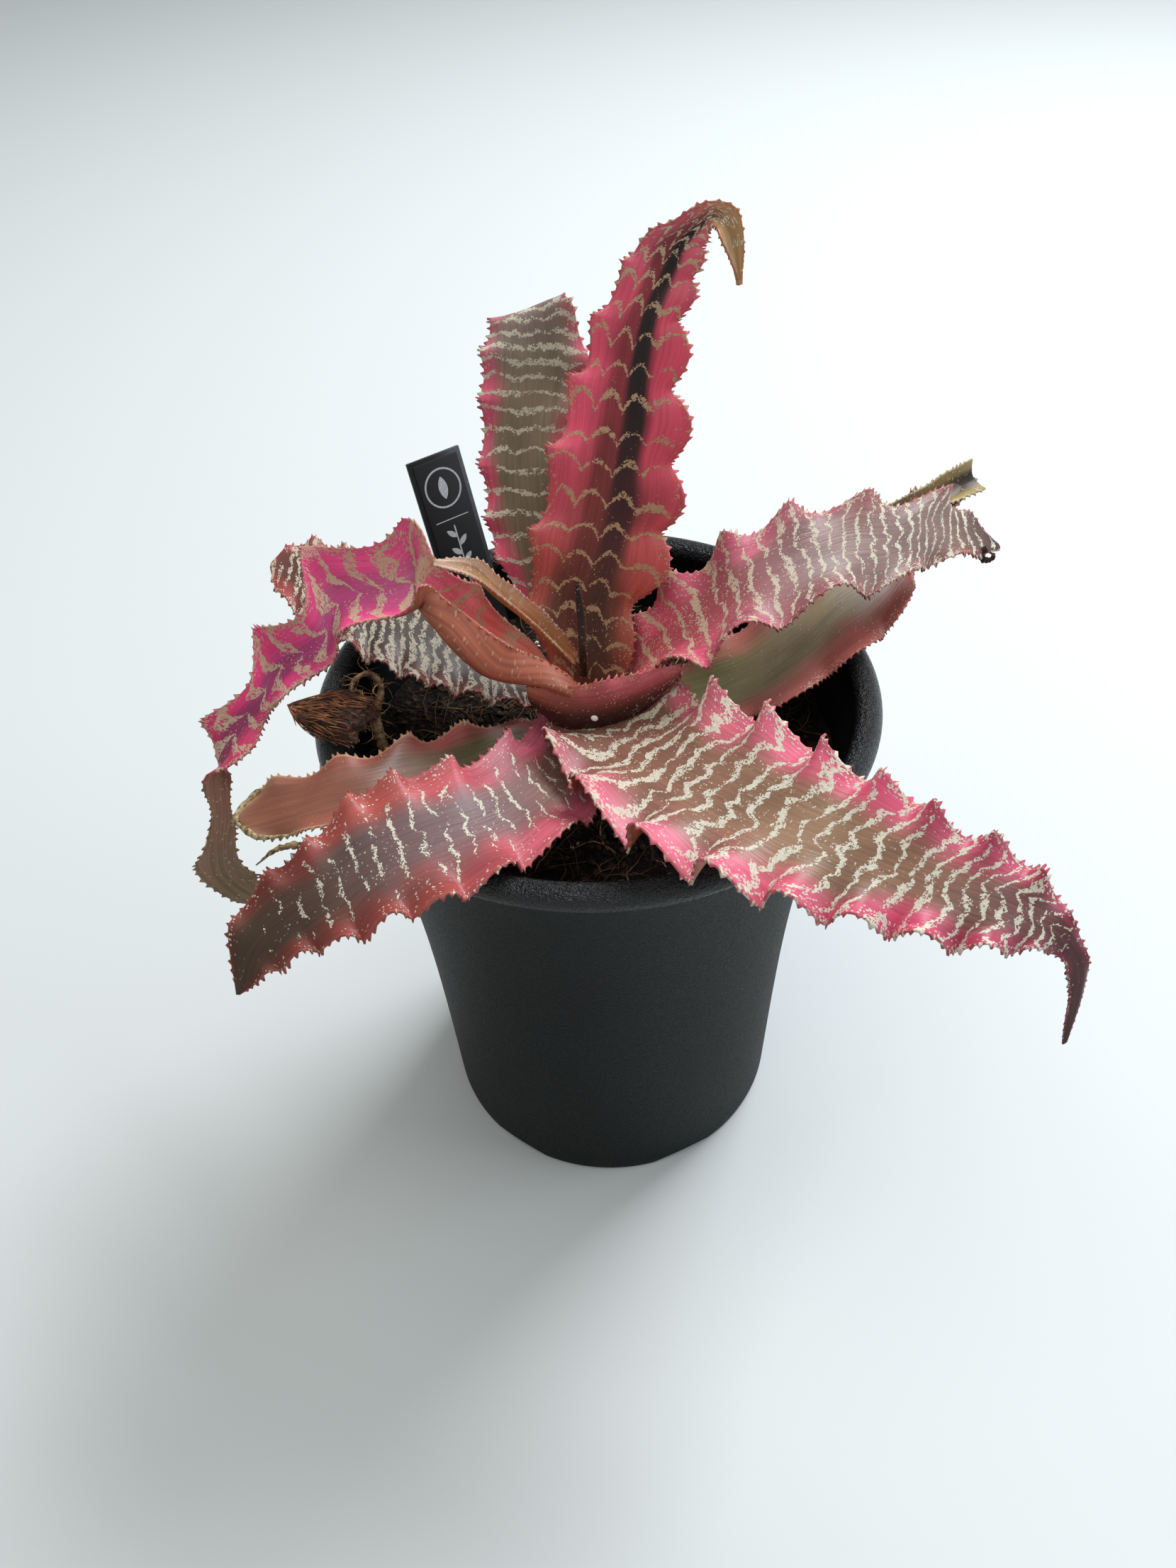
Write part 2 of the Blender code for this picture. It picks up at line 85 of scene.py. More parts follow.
# Each leaf is a strip between its two margins, hollowed along the middle. The margins have a point at each
# station from base to tip; left and right are as seen from the base, upper face up. "hollow" is how far the
# middle lies below the margins, at points spread evenly from base to tip.
LEAVES = {
    "leaf_front_right": dict(
        left=[(5, -3, -9), (12, -4, -1), (21, -8, 4), (31, -22, 11), (42, -38, 15), (51, -50, 16),
            (62, -57, 14), (72, -63, 9), (84, -65, 3), (92, -70, -4), (97, -76, -11), (100, -80, -20),
            (98, -86, -37)],
        right=[(-7, -4, -10), (-13, -11, -4), (-9, -31, 1), (1, -54, 6), (14, -68, 8), (28, -77, 8),
            (41, -81, 5), (55, -82, 0), (68, -83, -5), (82, -81, -10), (91, -79, -14), (96, -81, -21),
            (97, -86, -38)], hollow=[2, 5, 3, 2, 1, 0, 0]),
    "leaf_front_left": dict(
        left=[(0, -7, -16), (3, -22, -9), (-5, -45, -3), (-18, -60, 2), (-30, -69, 3), (-42, -72, 1),
            (-53, -73, -4), (-63, -72, -9), (-72, -73, -14), (-80, -75, -19)],
        right=[(-8, -2, -16), (-15, -5, -8), (-23, -20, 0), (-33, -32, 5), (-46, -37, 7), (-56, -43, 6),
            (-65, -52, 2), (-74, -56, -3), (-82, -64, -10), (-81, -75, -19)], hollow=[2, 3, 2, 1, 1, 0]),
    "leaf_low_left": dict(
        left=[(-9, -4, -17), (-21, -15, -12), (-31, -29, -7), (-41, -38, -2), (-50, -43, 1),
            (-60, -46, 2), (-70, -46, -1), (-78, -43, -4), (-83, -38, -5)],
        right=[(-11, 1, -16), (-23, 0, -11), (-34, -8, -6), (-43, -16, -1), (-52, -24, 3), (-62, -28, 3),
            (-72, -29, 1), (-80, -31, -2), (-84, -36, -4)], hollow=[2, 2, 1, 1, 0]),
    "leaf_arching_left": dict(
        left=[(-3, -6, 2), (-11, -4, 11), (-22, -4.5, 17), (-31, -3, 28), (-38, -3, 33), (-45, -6, 28),
            (-58, -2, 22), (-63, -6, 14), (-75, -5, 6), (-80, -6, 1), (-83, -9, -4), (-91, -14, -9),
            (-98, -14, -12), (-98, -17, -21), (-101, -23, -29), (-103, -26, -36), (-95, -29, -42),
            (-86, -27, -46)],
        right=[(-8, 4, -4), (-18, 7, 13), (-27, 9, 22), (-34, 10, 31), (-41, 16, 36), (-53, 18, 34),
            (-68, 20, 28), (-72, 9, 21), (-82, 9, 13), (-86, 0, 6), (-96, -4, -2), (-96, -8, -9),
            (-93, -11, -15), (-93, -16, -21), (-93, -21, -28), (-91, -24, -36), (-88, -26, -41),
            (-85, -26, -46)], hollow=[4, 9, 8, 5, 3, 1, 0, 0, 0]),
    "leaf_back_left": dict(
        left=[(-9, 2, -16), (-17, 3, -9), (-26, 1, -5), (-36, 2, -2), (-46, 4, 1), (-57, 9, 4),
            (-66, 17, 6), (-77, 27, 7), (-84, 38, 7), (-86, 45, 8)],
        right=[(-7, 9, -15), (-12, 18, -7), (-22, 24, -1), (-33, 31, 4), (-44, 37, 7), (-55, 42, 9),
            (-65, 49, 10), (-73, 53, 11), (-81, 52, 11), (-86, 47, 9)], hollow=[2, 2, 1, 1, 0]),
    "leaf_right": dict(
        left=[(6, 5, -6), (11, 13, 6), (16, 17, 15), (27, 18, 22), (38, 20, 29), (50, 24, 31),
            (65, 29, 30), (79, 33, 27), (93, 41, 23), (100, 43, 16), (109, 39, 8)],
        right=[(3, -2, -7), (8, -3, 3), (18, -9, 11), (26, -12, 16), (36, -8, 20), (48, -4, 21),
            (60, 4, 21), (72, 9, 18), (86, 23, 14), (99, 31, 10), (109, 36, 8)], hollow=[2, 5, 3, 1, 0, 0]),
    "leaf_right_under": dict(
        left=[(5, 6, -16), (17, 14, -10), (30, 18, -4), (41, 22, 1), (52, 30, 5), (62, 39, 8),
            (73, 48, 9), (83, 58, 9), (92, 63, 9), (98, 67, 10), (108, 72, 11)],
        right=[(6, -1, -17), (20, -3, -12), (32, -10, -6), (44, -10, -2), (55, -5, 1), (64, 2, 3),
            (74, 9, 4), (83, 25, 4), (91, 41, 4), (101, 56, 6), (113, 72, 8)], hollow=[2, 3, 2, 1, 1, 1]),
    "leaf_upright_centre": dict(
        left=[(-8, 1, -7), (-15, 10, 15), (-14, 15, 29), (-10, 21, 42), (-6, 27, 54), (-1, 33, 64),
            (4, 39, 74), (10, 44, 82), (15, 48, 88), (24, 50, 92), (32, 50, 95), (37.5, 45.5, 91.5),
            (37.5, 42.5, 79)],
        right=[(6, 1, -7), (10, 10, 8), (17, 15, 23), (21, 21, 36), (23, 27, 50), (23, 33, 61),
            (24, 39, 72), (27, 44, 79), (29, 47, 85), (30, 48, 87.5), (31, 47, 90.5), (32.5, 43.5, 89),
            (37.2, 42.3, 79)], hollow=[1, 4, 4, 3, 2, 1, 1]),
    "leaf_upright_back": dict(
        left=[(-12, 13, -1), (-19, 20, 13), (-24, 27, 25), (-25, 34, 36), (-25, 41, 47), (-24, 46, 56),
            (-23, 50, 64), (-20, 56, 68), (-16, 65, 60)],
        right=[(-3, 14, -1), (-4, 21, 13), (-4, 27, 25), (-4, 34, 36), (-2, 41, 47), (1, 47, 55),
            (2, 50, 63), (-3, 56, 73), (-6, 65, 66)], hollow=[1, 2, 2, 1, 0]),
    "leaf_inner": dict(
        left=[(-5, 2, 4), (-9, 1, 11), (-14, 1, 18), (-20, 1, 25), (-27, 1, 32), (-36, 1, 36)],
        right=[(-4, 5, 5), (-8, 5, 13), (-13, 5, 20), (-20, 6, 27), (-27, 6, 34), (-36, 3, 36)],
        hollow=[1, 3, 3, 2, 0])}
SLIVER = dict(
    left=[(-4, 3, 0), (-4, 3, 8), (-4, 6, 16), (-4, 8, 24)],
    right=[(-2, 3, 0), (-2, 3, 8), (-2, 6, 16), (-3, 8, 24)], hollow=[0, 0])

# What a leaf has where its look says nothing else: no bands, no stripes, a reddish rim.
PLAIN = dict(belly=[0], rim="#A85A50", stripes_and_painted_shade=[], gap=[6.0], width=[0.3], bands=[0.0], fade=0, slant=[0],
             jog=1.0, lanes=[], arch=[], crescent=0)

# How each leaf is ruffled and coloured. A ruffle is (height, outward push, sharpness, lean), and its lobes
# are stations, as shares of the leaf. Lists of colours and amounts run from base to tip, and the centre and
# margin are the upper face's. A stripe is (place across, half its width, colour, strengths). Lanes are
# lengthwise strips across which each band arches. Widths, gaps, arches, slants, jogs and bellies are in mm.
LOOKS = {
    "leaf_front_right": dict(
        left_ruffle=(2.5, 0.9, 0.5, -0.16),
        left_lobes=[0.155, 0.226, 0.306, 0.388, 0.47, 0.546, 0.638, 0.73],
        right_ruffle=(-3.3, 0.8, 0.4, 0.16), right_lobes=[0.17, 0.258, 0.335, 0.414, 0.5, 0.58, 0.67, 0.75],
        centre="6E4A3C 7E5546 8A6450 8C6A4C 86604A 764A44 5A3436 462826",
        margin="9A5A50 BC5C6A D46078 D25470 C84866 B03C58 82384A 5A2A30",
        pink=[0.1, 0.2, 0.28, 0.3, 0.34, 0.38, 0.28, 0.12], under="BC5E41 AB6448 92543F",
        gap=[5.0, 5.8, 6.0, 5.2, 4.6, 3.8, 3.2, 3.4], width=[0.7, 0.95, 0.7, 0.55, 0.55, 0.5, 0.4],
        bands=[0.6, 0.8, 0.85, 0.95, 1.0, 1.0, 1.0, 0.8, 0.1, 0.0], fade=0.3,
        slant=[-7, -6, -4, -2, 0, 2, 2], jog=1.9, lanes=[-1.0, -0.45, 0.1, 0.6, 1.0],
        arch=[1.2, -1.0, 1.4, -0.8], flecks=[0.12, 0.1, 0.08, 0.06, 0.05, 0.05, 0.05, 0.0], rim_flecks=0.35,
        silver=[0.7, 1.0, 1.0, 1.0]),
    "leaf_front_left": dict(
        left_ruffle=(-1.8, 0.6, 0.4, 0.1), left_lobes=[0.1, 0.195, 0.32, 0.431, 0.536, 0.647, 0.763, 0.87],
        right_ruffle=(1.6, 0.7, 0.4, -0.1), right_lobes=[0.1, 0.22, 0.357, 0.456, 0.56, 0.67, 0.78],
        centre="8A4E60 7C5A50 785A58 6C5250 5A4238 483424 3C2A1D",
        margin="B45C7C BC5A6C B45058 A0463C 8C3C34 743428 4C2A1D",
        pink=[0.4, 0.42, 0.46, 0.4, 0.3, 0.24, 0.18], under="B36248 9A5843 7B4D3A",
        gap=[6.0, 5.2, 5.0, 5.0, 5.0, 5.0], width=[0.32], bands=[0.1, 0.42, 0.6, 0.5, 0.5, 0.25, 0.0],
        fade=0.8, slant=[-3, -2, -1, 0], jog=1.2, flecks=[0.03, 0.05, 0.06, 0.05, 0.03, 0.02],
        rim_flecks=0.12, silver=[1.0]),
    "leaf_low_left": dict(
        left_ruffle=(1.3, 0.7, 0.3, 0.0), left_lobes=[0.3, 0.5, 0.7, 0.9],
        right_ruffle=(1.5, 0.8, 0.3, 0.0), right_lobes=[0.25, 0.42, 0.6, 0.8],
        centre="5A5438 625A3C 6E5240 84503E 84503C 8A5A44",
        margin="8A4A44 9A4E48 964A40 944A3A 94604A BCA078", pink=[0.3, 0.3, 0.25, 0.16, 0.12, 0.22],
        rim="#C0A67C", under="A25A3F 8B5138", flecks=[0.015], rim_flecks=0.05, silver=[0.6]),
    "leaf_arching_left": dict(
        left_ruffle=(2.0, 1.5, 0.5, 0.0), left_lobes=[0.12, 0.247, 0.359, 0.49, 0.63, 0.74, 0.85],
        right_ruffle=(1.8, 1.5, 0.7, 0.0), right_lobes=[0.12, 0.24, 0.354, 0.47, 0.595, 0.7, 0.8, 0.9],
        belly=[6, 9, 3, 0, 0, 0, 0, 0, 0],
        centre="CD6C54 D77D66 BB537D B13C72 983666 873254 984C4D 876346 74613E",
        margin="E07F62 EA6C77 EA5389 E0427D D73C74 CD3A64 BB4C56 895C46 74593E",
        pink=[0.4, 0.4, 0.5, 0.5, 0.5, 0.5, 0.4, 0.3, 0.3],
        under="A85C44 B4664C AC6450 A86450 98604E 8A6C58 7C6E50", gap=[7.0, 7.0, 7.5, 7.5, 7.0, 6.0, 5.0],
        width=[0.95], bands=[0.4, 0.8, 1.0, 1.0, 1.0, 0.9, 0.5, 0.2], slant=[1, 1, 1], jog=1.2,
        lanes=[-1.0, -0.02, 1.0], arch=[4.0, 4.4], crescent=1.0, flecks=[0.1, 0.1, 0.1, 0.08, 0.08, 0.06],
        rim_flecks=0.9, silver=[0.0, 0.2, 0.35, 0.45, 0.35]),
    "leaf_back_left": dict(
        left_ruffle=(-1.8, 0.8, 0.5, 0.0), left_lobes=[0.221, 0.325, 0.4, 0.474, 0.56, 0.66, 0.78, 0.9],
        right_ruffle=(1.6, 0.8, 0.4, 0.0), right_lobes=[0.2, 0.32, 0.44, 0.56, 0.68, 0.8],
        centre="5A3834 4E3A34 4C3C34 4A382E 5A3A30 78403A",
        margin="7B3635 753631 773C35 7B3831 923C38 A2433F", pink=[0.12, 0.1, 0.1, 0.14, 0.3, 0.4],
        under="92543F 7F4D38", gap=[3.5, 3.3, 3.2, 3.2, 3.3], width=[0.62],
        bands=[1.0, 1.0, 1.0, 0.9, 0.6, 0.4], fade=0.1, slant=[1.5], jog=1.1, flecks=[0.03], rim_flecks=0.3,
        silver=[0.75, 0.8, 0.85, 0.6]),
    "leaf_right": dict(
        left_ruffle=(2.0, 1.1, 0.5, 0.0), left_lobes=[0.11, 0.23, 0.357, 0.49, 0.628, 0.792, 0.93],
        right_ruffle=(-1.9, 1.1, 0.3, 0.0), right_lobes=[0.12, 0.285, 0.466, 0.665, 0.811, 0.95],
        centre="984E46 B24650 A84C54 8C5658 806058 80645C 7C5E52 3A201A",
        margin="AA4A50 D04C66 D65672 C85E74 A85C64 945C54 885048 2A1814",
        pink=[0.5, 0.46, 0.36, 0.22, 0.14, 0.1, 0.1, 0.2], under="BC5A46 A25A46 7B4F3F",
        gap=[7.5, 6.5, 5.4, 4.4, 3.9, 3.6, 3.4], width=[0.7, 0.7, 0.6, 0.42, 0.4, 0.36],
        bands=[0.6, 0.8, 0.85, 0.8, 0.8, 0.85, 0.8, 0.2], fade=0.1, slant=[3, 3, 2, 1], jog=1.3,
        flecks=[0.3, 0.3, 0.16, 0.08, 0.05, 0.05, 0.05], rim_flecks=0.35, silver=[0.1, 0.3, 0.7, 1.0, 1.0]),
    "leaf_right_under": dict(
        left_ruffle=(1.4, 0.9, 0.4, 0.0), left_lobes=[0.2, 0.35, 0.5, 0.65, 0.8],
        right_ruffle=(1.7, 1.2, -0.4, 0.0), right_lobes=[0.16, 0.329, 0.509, 0.68, 0.82],
        centre="5C5A37 817C50 8C7C5B 8E7C5A 91755E 7E6755 5C4535",
        margin="7C4C3E AF6557 BA675C B35C50 A15045 914C3C 634332",
        pink=[0.1, 0.25, 0.34, 0.42, 0.5, 0.4, 0.3], under="A26446 925A3F",
        flecks=[0.01, 0.03, 0.05, 0.07, 0.04], rim_flecks=0.2, silver=[0.8]),
    "leaf_upright_centre": dict(
        left_ruffle=(1.9, 1.3, 0.6, 0.1), left_lobes=[0.07, 0.185, 0.297, 0.405, 0.497, 0.606, 0.7, 0.78],
        right_ruffle=(2.0, 1.5, -0.5, 0.0), right_lobes=[0.05, 0.17, 0.25, 0.348, 0.46, 0.553, 0.64, 0.73],
        # This leaf's pinks are its own colour, made lighter and pinker as painted glow, standing in for
        # sunlight shining through the leaf.
        centre="66402C 723E2E 963E3E B13D4C AF3D4E A2404A 91444C A0784C A88450",
        margin="A4543E B05244 D44E5E E0506A DC4E66 D8556C CA5B68 B08458 B89060",
        pink=[0.2, 0.3, 0.55, 0.6, 0.6, 0.6, 0.5, 0.3, 0.3],
        stripes_and_painted_shade=[(0.22, 0.26, "#241715", [0.15, 0.55, 0.9, 1.0, 1.0, 1.0, 1.0, 0.4, 0.0]),
            (-0.2, 0.18, "#6A2A24", [0.4, 0.6, 0.7, 0.55, 0.4, 0.2, 0.0])],
        under="8A5A40 9A6A48 B0885A B8905C", gap=[6.5, 7.0, 7.6, 7.6, 6.6, 5.0, 3.6, 3.2, 3.2],
        width=[0.52], bands=[0.7, 0.85, 0.9, 0.85, 0.85, 0.9, 1.0, 0.5, 0.0], fade=0.35, jog=0.7,
        lanes=[-1.0, -0.5, 0.0, 0.46, 1.0], arch=[3.4, 3.8, 3.2, 2.2],
        flecks=[0.12, 0.06, 0.03, 0.02, 0.02, 0.03, 0.05, 0.0, 0.0], rim_flecks=0.15,
        silver=[0.0, 0.0, 0.05, 0.1, 0.3, 0.8, 1.0]),
    "leaf_upright_back": dict(
        left_ruffle=(1.4, 0.7, 0.5, 0.0), left_lobes=[0.08, 0.212, 0.297, 0.419, 0.594, 0.735, 0.88],
        right_ruffle=(1.6, 1.0, 0.4, 0.0), right_lobes=[0.1, 0.25, 0.4, 0.55, 0.7, 0.85],
        centre="784745 70624A 7C6A50 84745A 8A7862 8E7E6C 947C72 977678",
        margin="B0455B D85271 E35273 DC5471 CF546D CF5F76 C66D7A BD767A",
        pink=[0.5, 0.36, 0.26, 0.22, 0.2, 0.16, 0.16, 0.2], under="925A46 815A3F",
        gap=[6.5, 6.0, 5.6, 5.0, 4.2, 3.3, 2.8, 2.6], width=[0.48],
        bands=[0.6, 0.85, 0.85, 0.7, 0.85, 1.0, 1.0, 0.9], fade=0.25, slant=[-1.0], jog=0.9, flecks=[0.02],
        rim_flecks=0.1, silver=[0.8, 0.8, 1.0]),
    "leaf_inner": dict(
        left_ruffle=(1.0, 0.8, 0.4, 0.0), left_lobes=[0.2, 0.4, 0.6, 0.8],
        right_ruffle=(1.0, 0.8, 0.4, 0.0), right_lobes=[0.15, 0.35, 0.55, 0.75],
        centre="A86A34 A8703C A87848 A07050", margin="B87850 C08A68 C89878 C0A088", pink=[0.4],
        under="A87028 A86C2C A06838", gap=[3.4], bands=[0.3, 0.5], flecks=[0.2], rim_flecks=0.6,
        silver=[0.4])}
SLIVER_LOOK = dict(
    left_ruffle=(0.4, 0.2, 0.0, 0.0), left_lobes=[0.3, 0.7], right_ruffle=(0.4, 0.2, 0.0, 0.0),
    right_lobes=[0.2, 0.6], centre="3A2A1E 241A14", margin="4A3626 2A1E16", pink=[0.3], under="2A1E16",
    gap=[3.0], bands=[0.2], flecks=[0.08], rim_flecks=0.1, silver=[0.2])

# The foot of the right leaf clasps the crown: it runs round the front from one side to the other. Its lower
# part is darkened by a stripe of painted shade.
SHEATH = dict(
    left=[(-17, -8, 6.5), (-11, -8.5, 6), (-5, -9, 6.5), (1, -9.5, 8), (8, -9, 9), (14, -8.5, 10),
        (20, -8, 11)],
    right=[(-16, -8, 1), (-11, -9.5, -4), (-6, -11, -6), (0, -11, -6), (7, -10.5, -4), (14, -9, 0),
        (20, -8, 6)], hollow=[-0.5, -1.2, -1.5, -1, -0.3])
SHEATH_LOOK = dict(
    left_ruffle=(1.5, 1.1, 0.3, 0.0), left_lobes=[0.12, 0.3, 0.5, 0.7, 0.88],
    right_ruffle=(0.0, 0.0, 0.0, 0.0), right_lobes=[0.3, 0.7], centre="8C4C38 7C4034 8A3C38 A04850",
    margin="A05A44 A85A4C CC6A70 D07484", pink=[0.15],
    stripes_and_painted_shade=[(-0.75, 0.5, "#C45C64", [0.0, 0.2, 0.8, 0.8]),
        # This dark stripe over the lower part of the sheath is painted shade.
        (0.75, 0.9, "#3A1A14", [0.9, 1.0, 1.0, 0.7])], under="8A4438 B05A50", gap=[8.0],
    flecks=[0.06, 0.08, 0.2], rim_flecks=0.3, silver=[0.1])

# The end of the lower right leaf is dead and rolled into a gutter.
DRY_ROLL = dict(
    left=[(82, 58, 9), (92, 62, 11), (101, 67, 13), (110, 71.5, 15)],
    right=[(84, 54, 7), (94, 57.5, 8), (104, 61.5, 8), (113.5, 66, 8.5)], hollow=[1.5, 2.5, 4, 3.5])
DRY_LOOK = dict(
    left_ruffle=(0.5, 0.3, 0.0, 0.0), left_lobes=[0.3, 0.7], right_ruffle=(0.5, 0.3, 0.0, 0.0),
    right_lobes=[0.2, 0.6], centre="5A3A34 5C4A34 30241A", margin="7A6244 8E7A4C A08C58", pink=[0.3],
    rim="#B8A67C", under="6A5038 9A8660", gap=[3.0], bands=[0.2], flecks=[0.1], rim_flecks=0.1,
    silver=[0.6])


# ---------------------------------------------------------------- helpers

def linear(code):
    """An sRGB hex colour as linear red, green, blue and alpha."""
    parts = [int(code[i:i + 2], 16) / 255 for i in (1, 3, 5)]
    return (*(c / 12.92 if c <= 0.04045 else ((c + 0.055) / 1.055) ** 2.4 for c in parts), 1.0)


def new_material(name):
    made = bpy.data.materials.new(name)
    made.use_nodes = True
    return made, made.node_tree, made.node_tree.nodes["Principled BSDF"]


def wire(tree, target, inputs):
    """Sets a node's inputs, given by name or in order, and links those that are another node's output."""
    for key, value in inputs.items() if isinstance(inputs, dict) else enumerate(inputs):
        if isinstance(value, bpy.types.NodeSocket):
            tree.links.new(value, target.inputs[key])
        else:
            target.inputs[key].default_value = value


def add(tree, kind, inputs=None, output=0, **settings):
    """Adds a shader node with its settings and inputs, and returns one of its outputs."""
    made = tree.nodes.new("ShaderNode" + kind)
    for key, value in settings.items():
        setattr(made, key, value)
    wire(tree, made, inputs or {})
    return made.outputs[output]


def new_object(name, data, *materials):
    made = bpy.data.objects.new(name, data)
    for material in materials:
        data.materials.append(material)
    bpy.context.scene.collection.objects.link(made)
    return made


def object_from(bm, name, *materials, outwards=True, smooth_angle=50):
    if outwards:
        bmesh.ops.recalc_face_normals(bm, faces=bm.faces)
    mesh = bpy.data.meshes.new(name)
    bm.to_mesh(mesh)
    bm.free()
    mesh.shade_smooth()
    mesh.set_sharp_from_angle(angle=math.radians(smooth_angle))
    return new_object(name, mesh, *materials)


def stand_for(piece, slot, *nodes):
    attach(piece, "root")
    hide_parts(*nodes)


def add_piece(piece):
    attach(piece, "root")


def from_rim(place):
    """A place on the plant, in metres."""
    return Vector((place[0] * MM, place[1] * MM, POT_HEIGHT + place[2] * MM))


def along_curve(points, where):
    """A smooth curve through the points, read at several places from 0, the first, to 1, the last."""
    points = np.array(points, float)
    if points.ndim == 1:
        points = points[:, None]
    if len(points) == 1:
        return np.repeat(points, len(where), axis=0)
    padded = np.vstack([2 * points[0] - points[1], points, 2 * points[-1] - points[-2]])
    place = np.clip(where, 0, 1) * (len(points) - 1)
    index = np.minimum(place.astype(int), len(points) - 2)
    t = (place - index)[:, None]
    a, b, c, d = (padded[index + k] for k in range(4))
    square, cube = 2 * a - 5 * b + 4 * c - d, 3 * b - a - 3 * c + d
    return 0.5 * (2 * b + (c - a) * t + square * t ** 2 + cube * t ** 3)


def amounts(values, where):
    """Amounts spread evenly from base to tip, read by straight lines."""
    return np.interp(where, np.linspace(0, 1, len(values)), values)


def colours(codes, where):
    """Colours spread the same way, from their codes in one string."""
    shades = np.array([linear("#" + code) for code in codes.split()])
    return np.stack([amounts(shades[:, k], where) for k in range(4)], axis=-1)


def ease(low, high, value):
    share = np.clip((value - low) / (high - low), 0, 1)
    return share * share * (3 - 2 * share)


def unit(vectors):
    return vectors / np.linalg.norm(vectors, axis=-1, keepdims=True)


def mottled(name, grain, dark, light, roughness, detail=2.0, ends=(0.0, 1.0), strength=0.5, depth=0.0,
            kind="TexNoise"):
    """A dull finish: its shade follows a pattern of this grain, and its height to this depth, both in mm."""
    made, tree, shader = new_material(name)
    place = add(tree, "TexCoord", output="Object")
    pattern = {"Vector": place, "Scale": 1 / (grain * MM), "Detail": detail}
    tone = add(tree, "MapRange", (add(tree, kind, pattern), *ends))
    colour = add(tree, "Mix", {"Factor": tone, 6: linear(dark), 7: linear(light)}, output=2, data_type="RGBA")
    wire(tree, shader, {"Base Color": colour, "Roughness": roughness})
    if depth:
        bump = add(tree, "Bump", {"Height": tone, "Strength": strength, "Distance": depth * MM})
        wire(tree, shader, {"Normal": bump})
    return made


def fibre(name, dark, light, length):
    """A dry plant fibre: streaks along it are too fine to show, so its shade varies every few mm instead."""
    return mottled(name, length, dark, light, 0.85, detail=3.0, ends=(0.32, 0.68), strength=0.6, depth=0.2)


# ---------------------------------------------------------------- leaves

def leaf_rows(leaf):
    """Stations an even distance apart along the leaf's middle, and their distances from the base in mm."""
    fine = np.linspace(0, 1, 2000)
    middle = (along_curve(leaf["left"], fine) + along_curve(leaf["right"], fine)) / 2
    travelled = np.concatenate([[0], np.cumsum(np.linalg.norm(np.diff(middle, axis=0), axis=1))])
    distance = np.linspace(0, travelled[-1], int(travelled[-1] / ROW) + 1)
    return np.interp(distance, travelled, fine), distance


def ruffle(shape, lobes, stations, distance):
    """How far a margin moves up, outwards and along at each row: a wave whose crests are at the lobes."""
    height, push, sharpness, lean = shape
    spacing = np.mean(np.diff(lobes))
    ends = [lobes[0] - 3 * spacing, *lobes, lobes[-1] + 9 * spacing]
    turns = np.interp(stations, ends, [-3, *range(len(lobes)), len(lobes) + 8])
    wave = math.tau * turns
    length = 1 / np.maximum(np.gradient(turns, distance), 1e-3)
    fade = ease(0, 0.10, stations) * ease(0, 0.12, 1 - stations)
    scale = np.minimum(length / 14, 1.2) * fade
    shift = (-sharpness / math.tau * np.sin(wave) + lean * np.cos(wave)) * length * fade
    return height * np.cos(wave) * scale, push * np.cos(wave) * scale, shift


def leaf_grid(leaf, look, seed):
    """Every vertex of a leaf, row by row: places in mm, and how far across and along each one is."""
    stations, distance = leaf_rows(leaf)
    even = np.linspace(-1, 1, ACROSS + 1)
    across = even * (1.32 - 0.32 * even ** 2)     # closer together towards the margins
    left, right = along_curve(leaf["left"], stations), along_curve(leaf["right"], stations)
    middle = (left + right) / 2
    ahead = unit(np.gradient(middle, axis=0))
    outward = right - left
    width = np.linalg.norm(outward, axis=1)
    outward = outward / np.maximum(width, 1e-6)[:, None]
    face = unit(np.cross(outward, ahead))
    hollow = along_curve(leaf["hollow"], stations)
    a = across[None, :, None]
    points = middle[:, None] + a * (right - left)[:, None] / 2 - (face * hollow)[:, None] * (1 - a ** 2)
    belly = amounts(look["belly"], stations)[:, None]
    bulge = np.sin(math.pi * np.clip(-across, 0, 1))[None, :, None]
    points = points - bulge * (outward * belly)[:, None]
    for side in ("left", "right"):
        sign = -1 if side == "left" else 1
        up, out, shift = ruffle(look[side + "_ruffle"], look[side + "_lobes"], stations, distance)
        reach = (np.clip(sign * across, 0, 1) ** 2.6)[None, :, None]
        room = np.minimum(width / 22, 1)
        move = face * (up * room)[:, None] + sign * outward * (out * room)[:, None]
        move = move + ahead * (shift * room)[:, None]
        points = points + reach * move[:, None]
        add_spines(points, -1 if side == "right" else 0, sign * outward, ahead, width, seed + sign)
    return points, across, stations, distance, width


def add_spines(points, column, outward, ahead, width, seed):
    """Draws a margin's vertex out to a point every few rows."""
    pick = random.Random(seed)
    row = 2
    while row < len(points) - 3:
        length = TOOTH_LENGTH * pick.uniform(0.6, 1.25) * min(width[row] / 10, 1)
        lift = Vector((0, 0, 1)) * pick.uniform(-0.2, 0.3)
        points[row, column] += length * (outward[row] + 0.35 * ahead[row] + np.array(lift))
        row += TOOTH_ROWS + pick.choice((-1, 0, 0, 1))


def blotches(distance, aside, size, seed):
    """A slow random variation over a leaf, about -1 to 1."""
    flat = [noise.noise(Vector((x / size, y / (1.6 * size), seed))) for x, y in zip(aside, distance)]
    return 2 * np.array(flat)


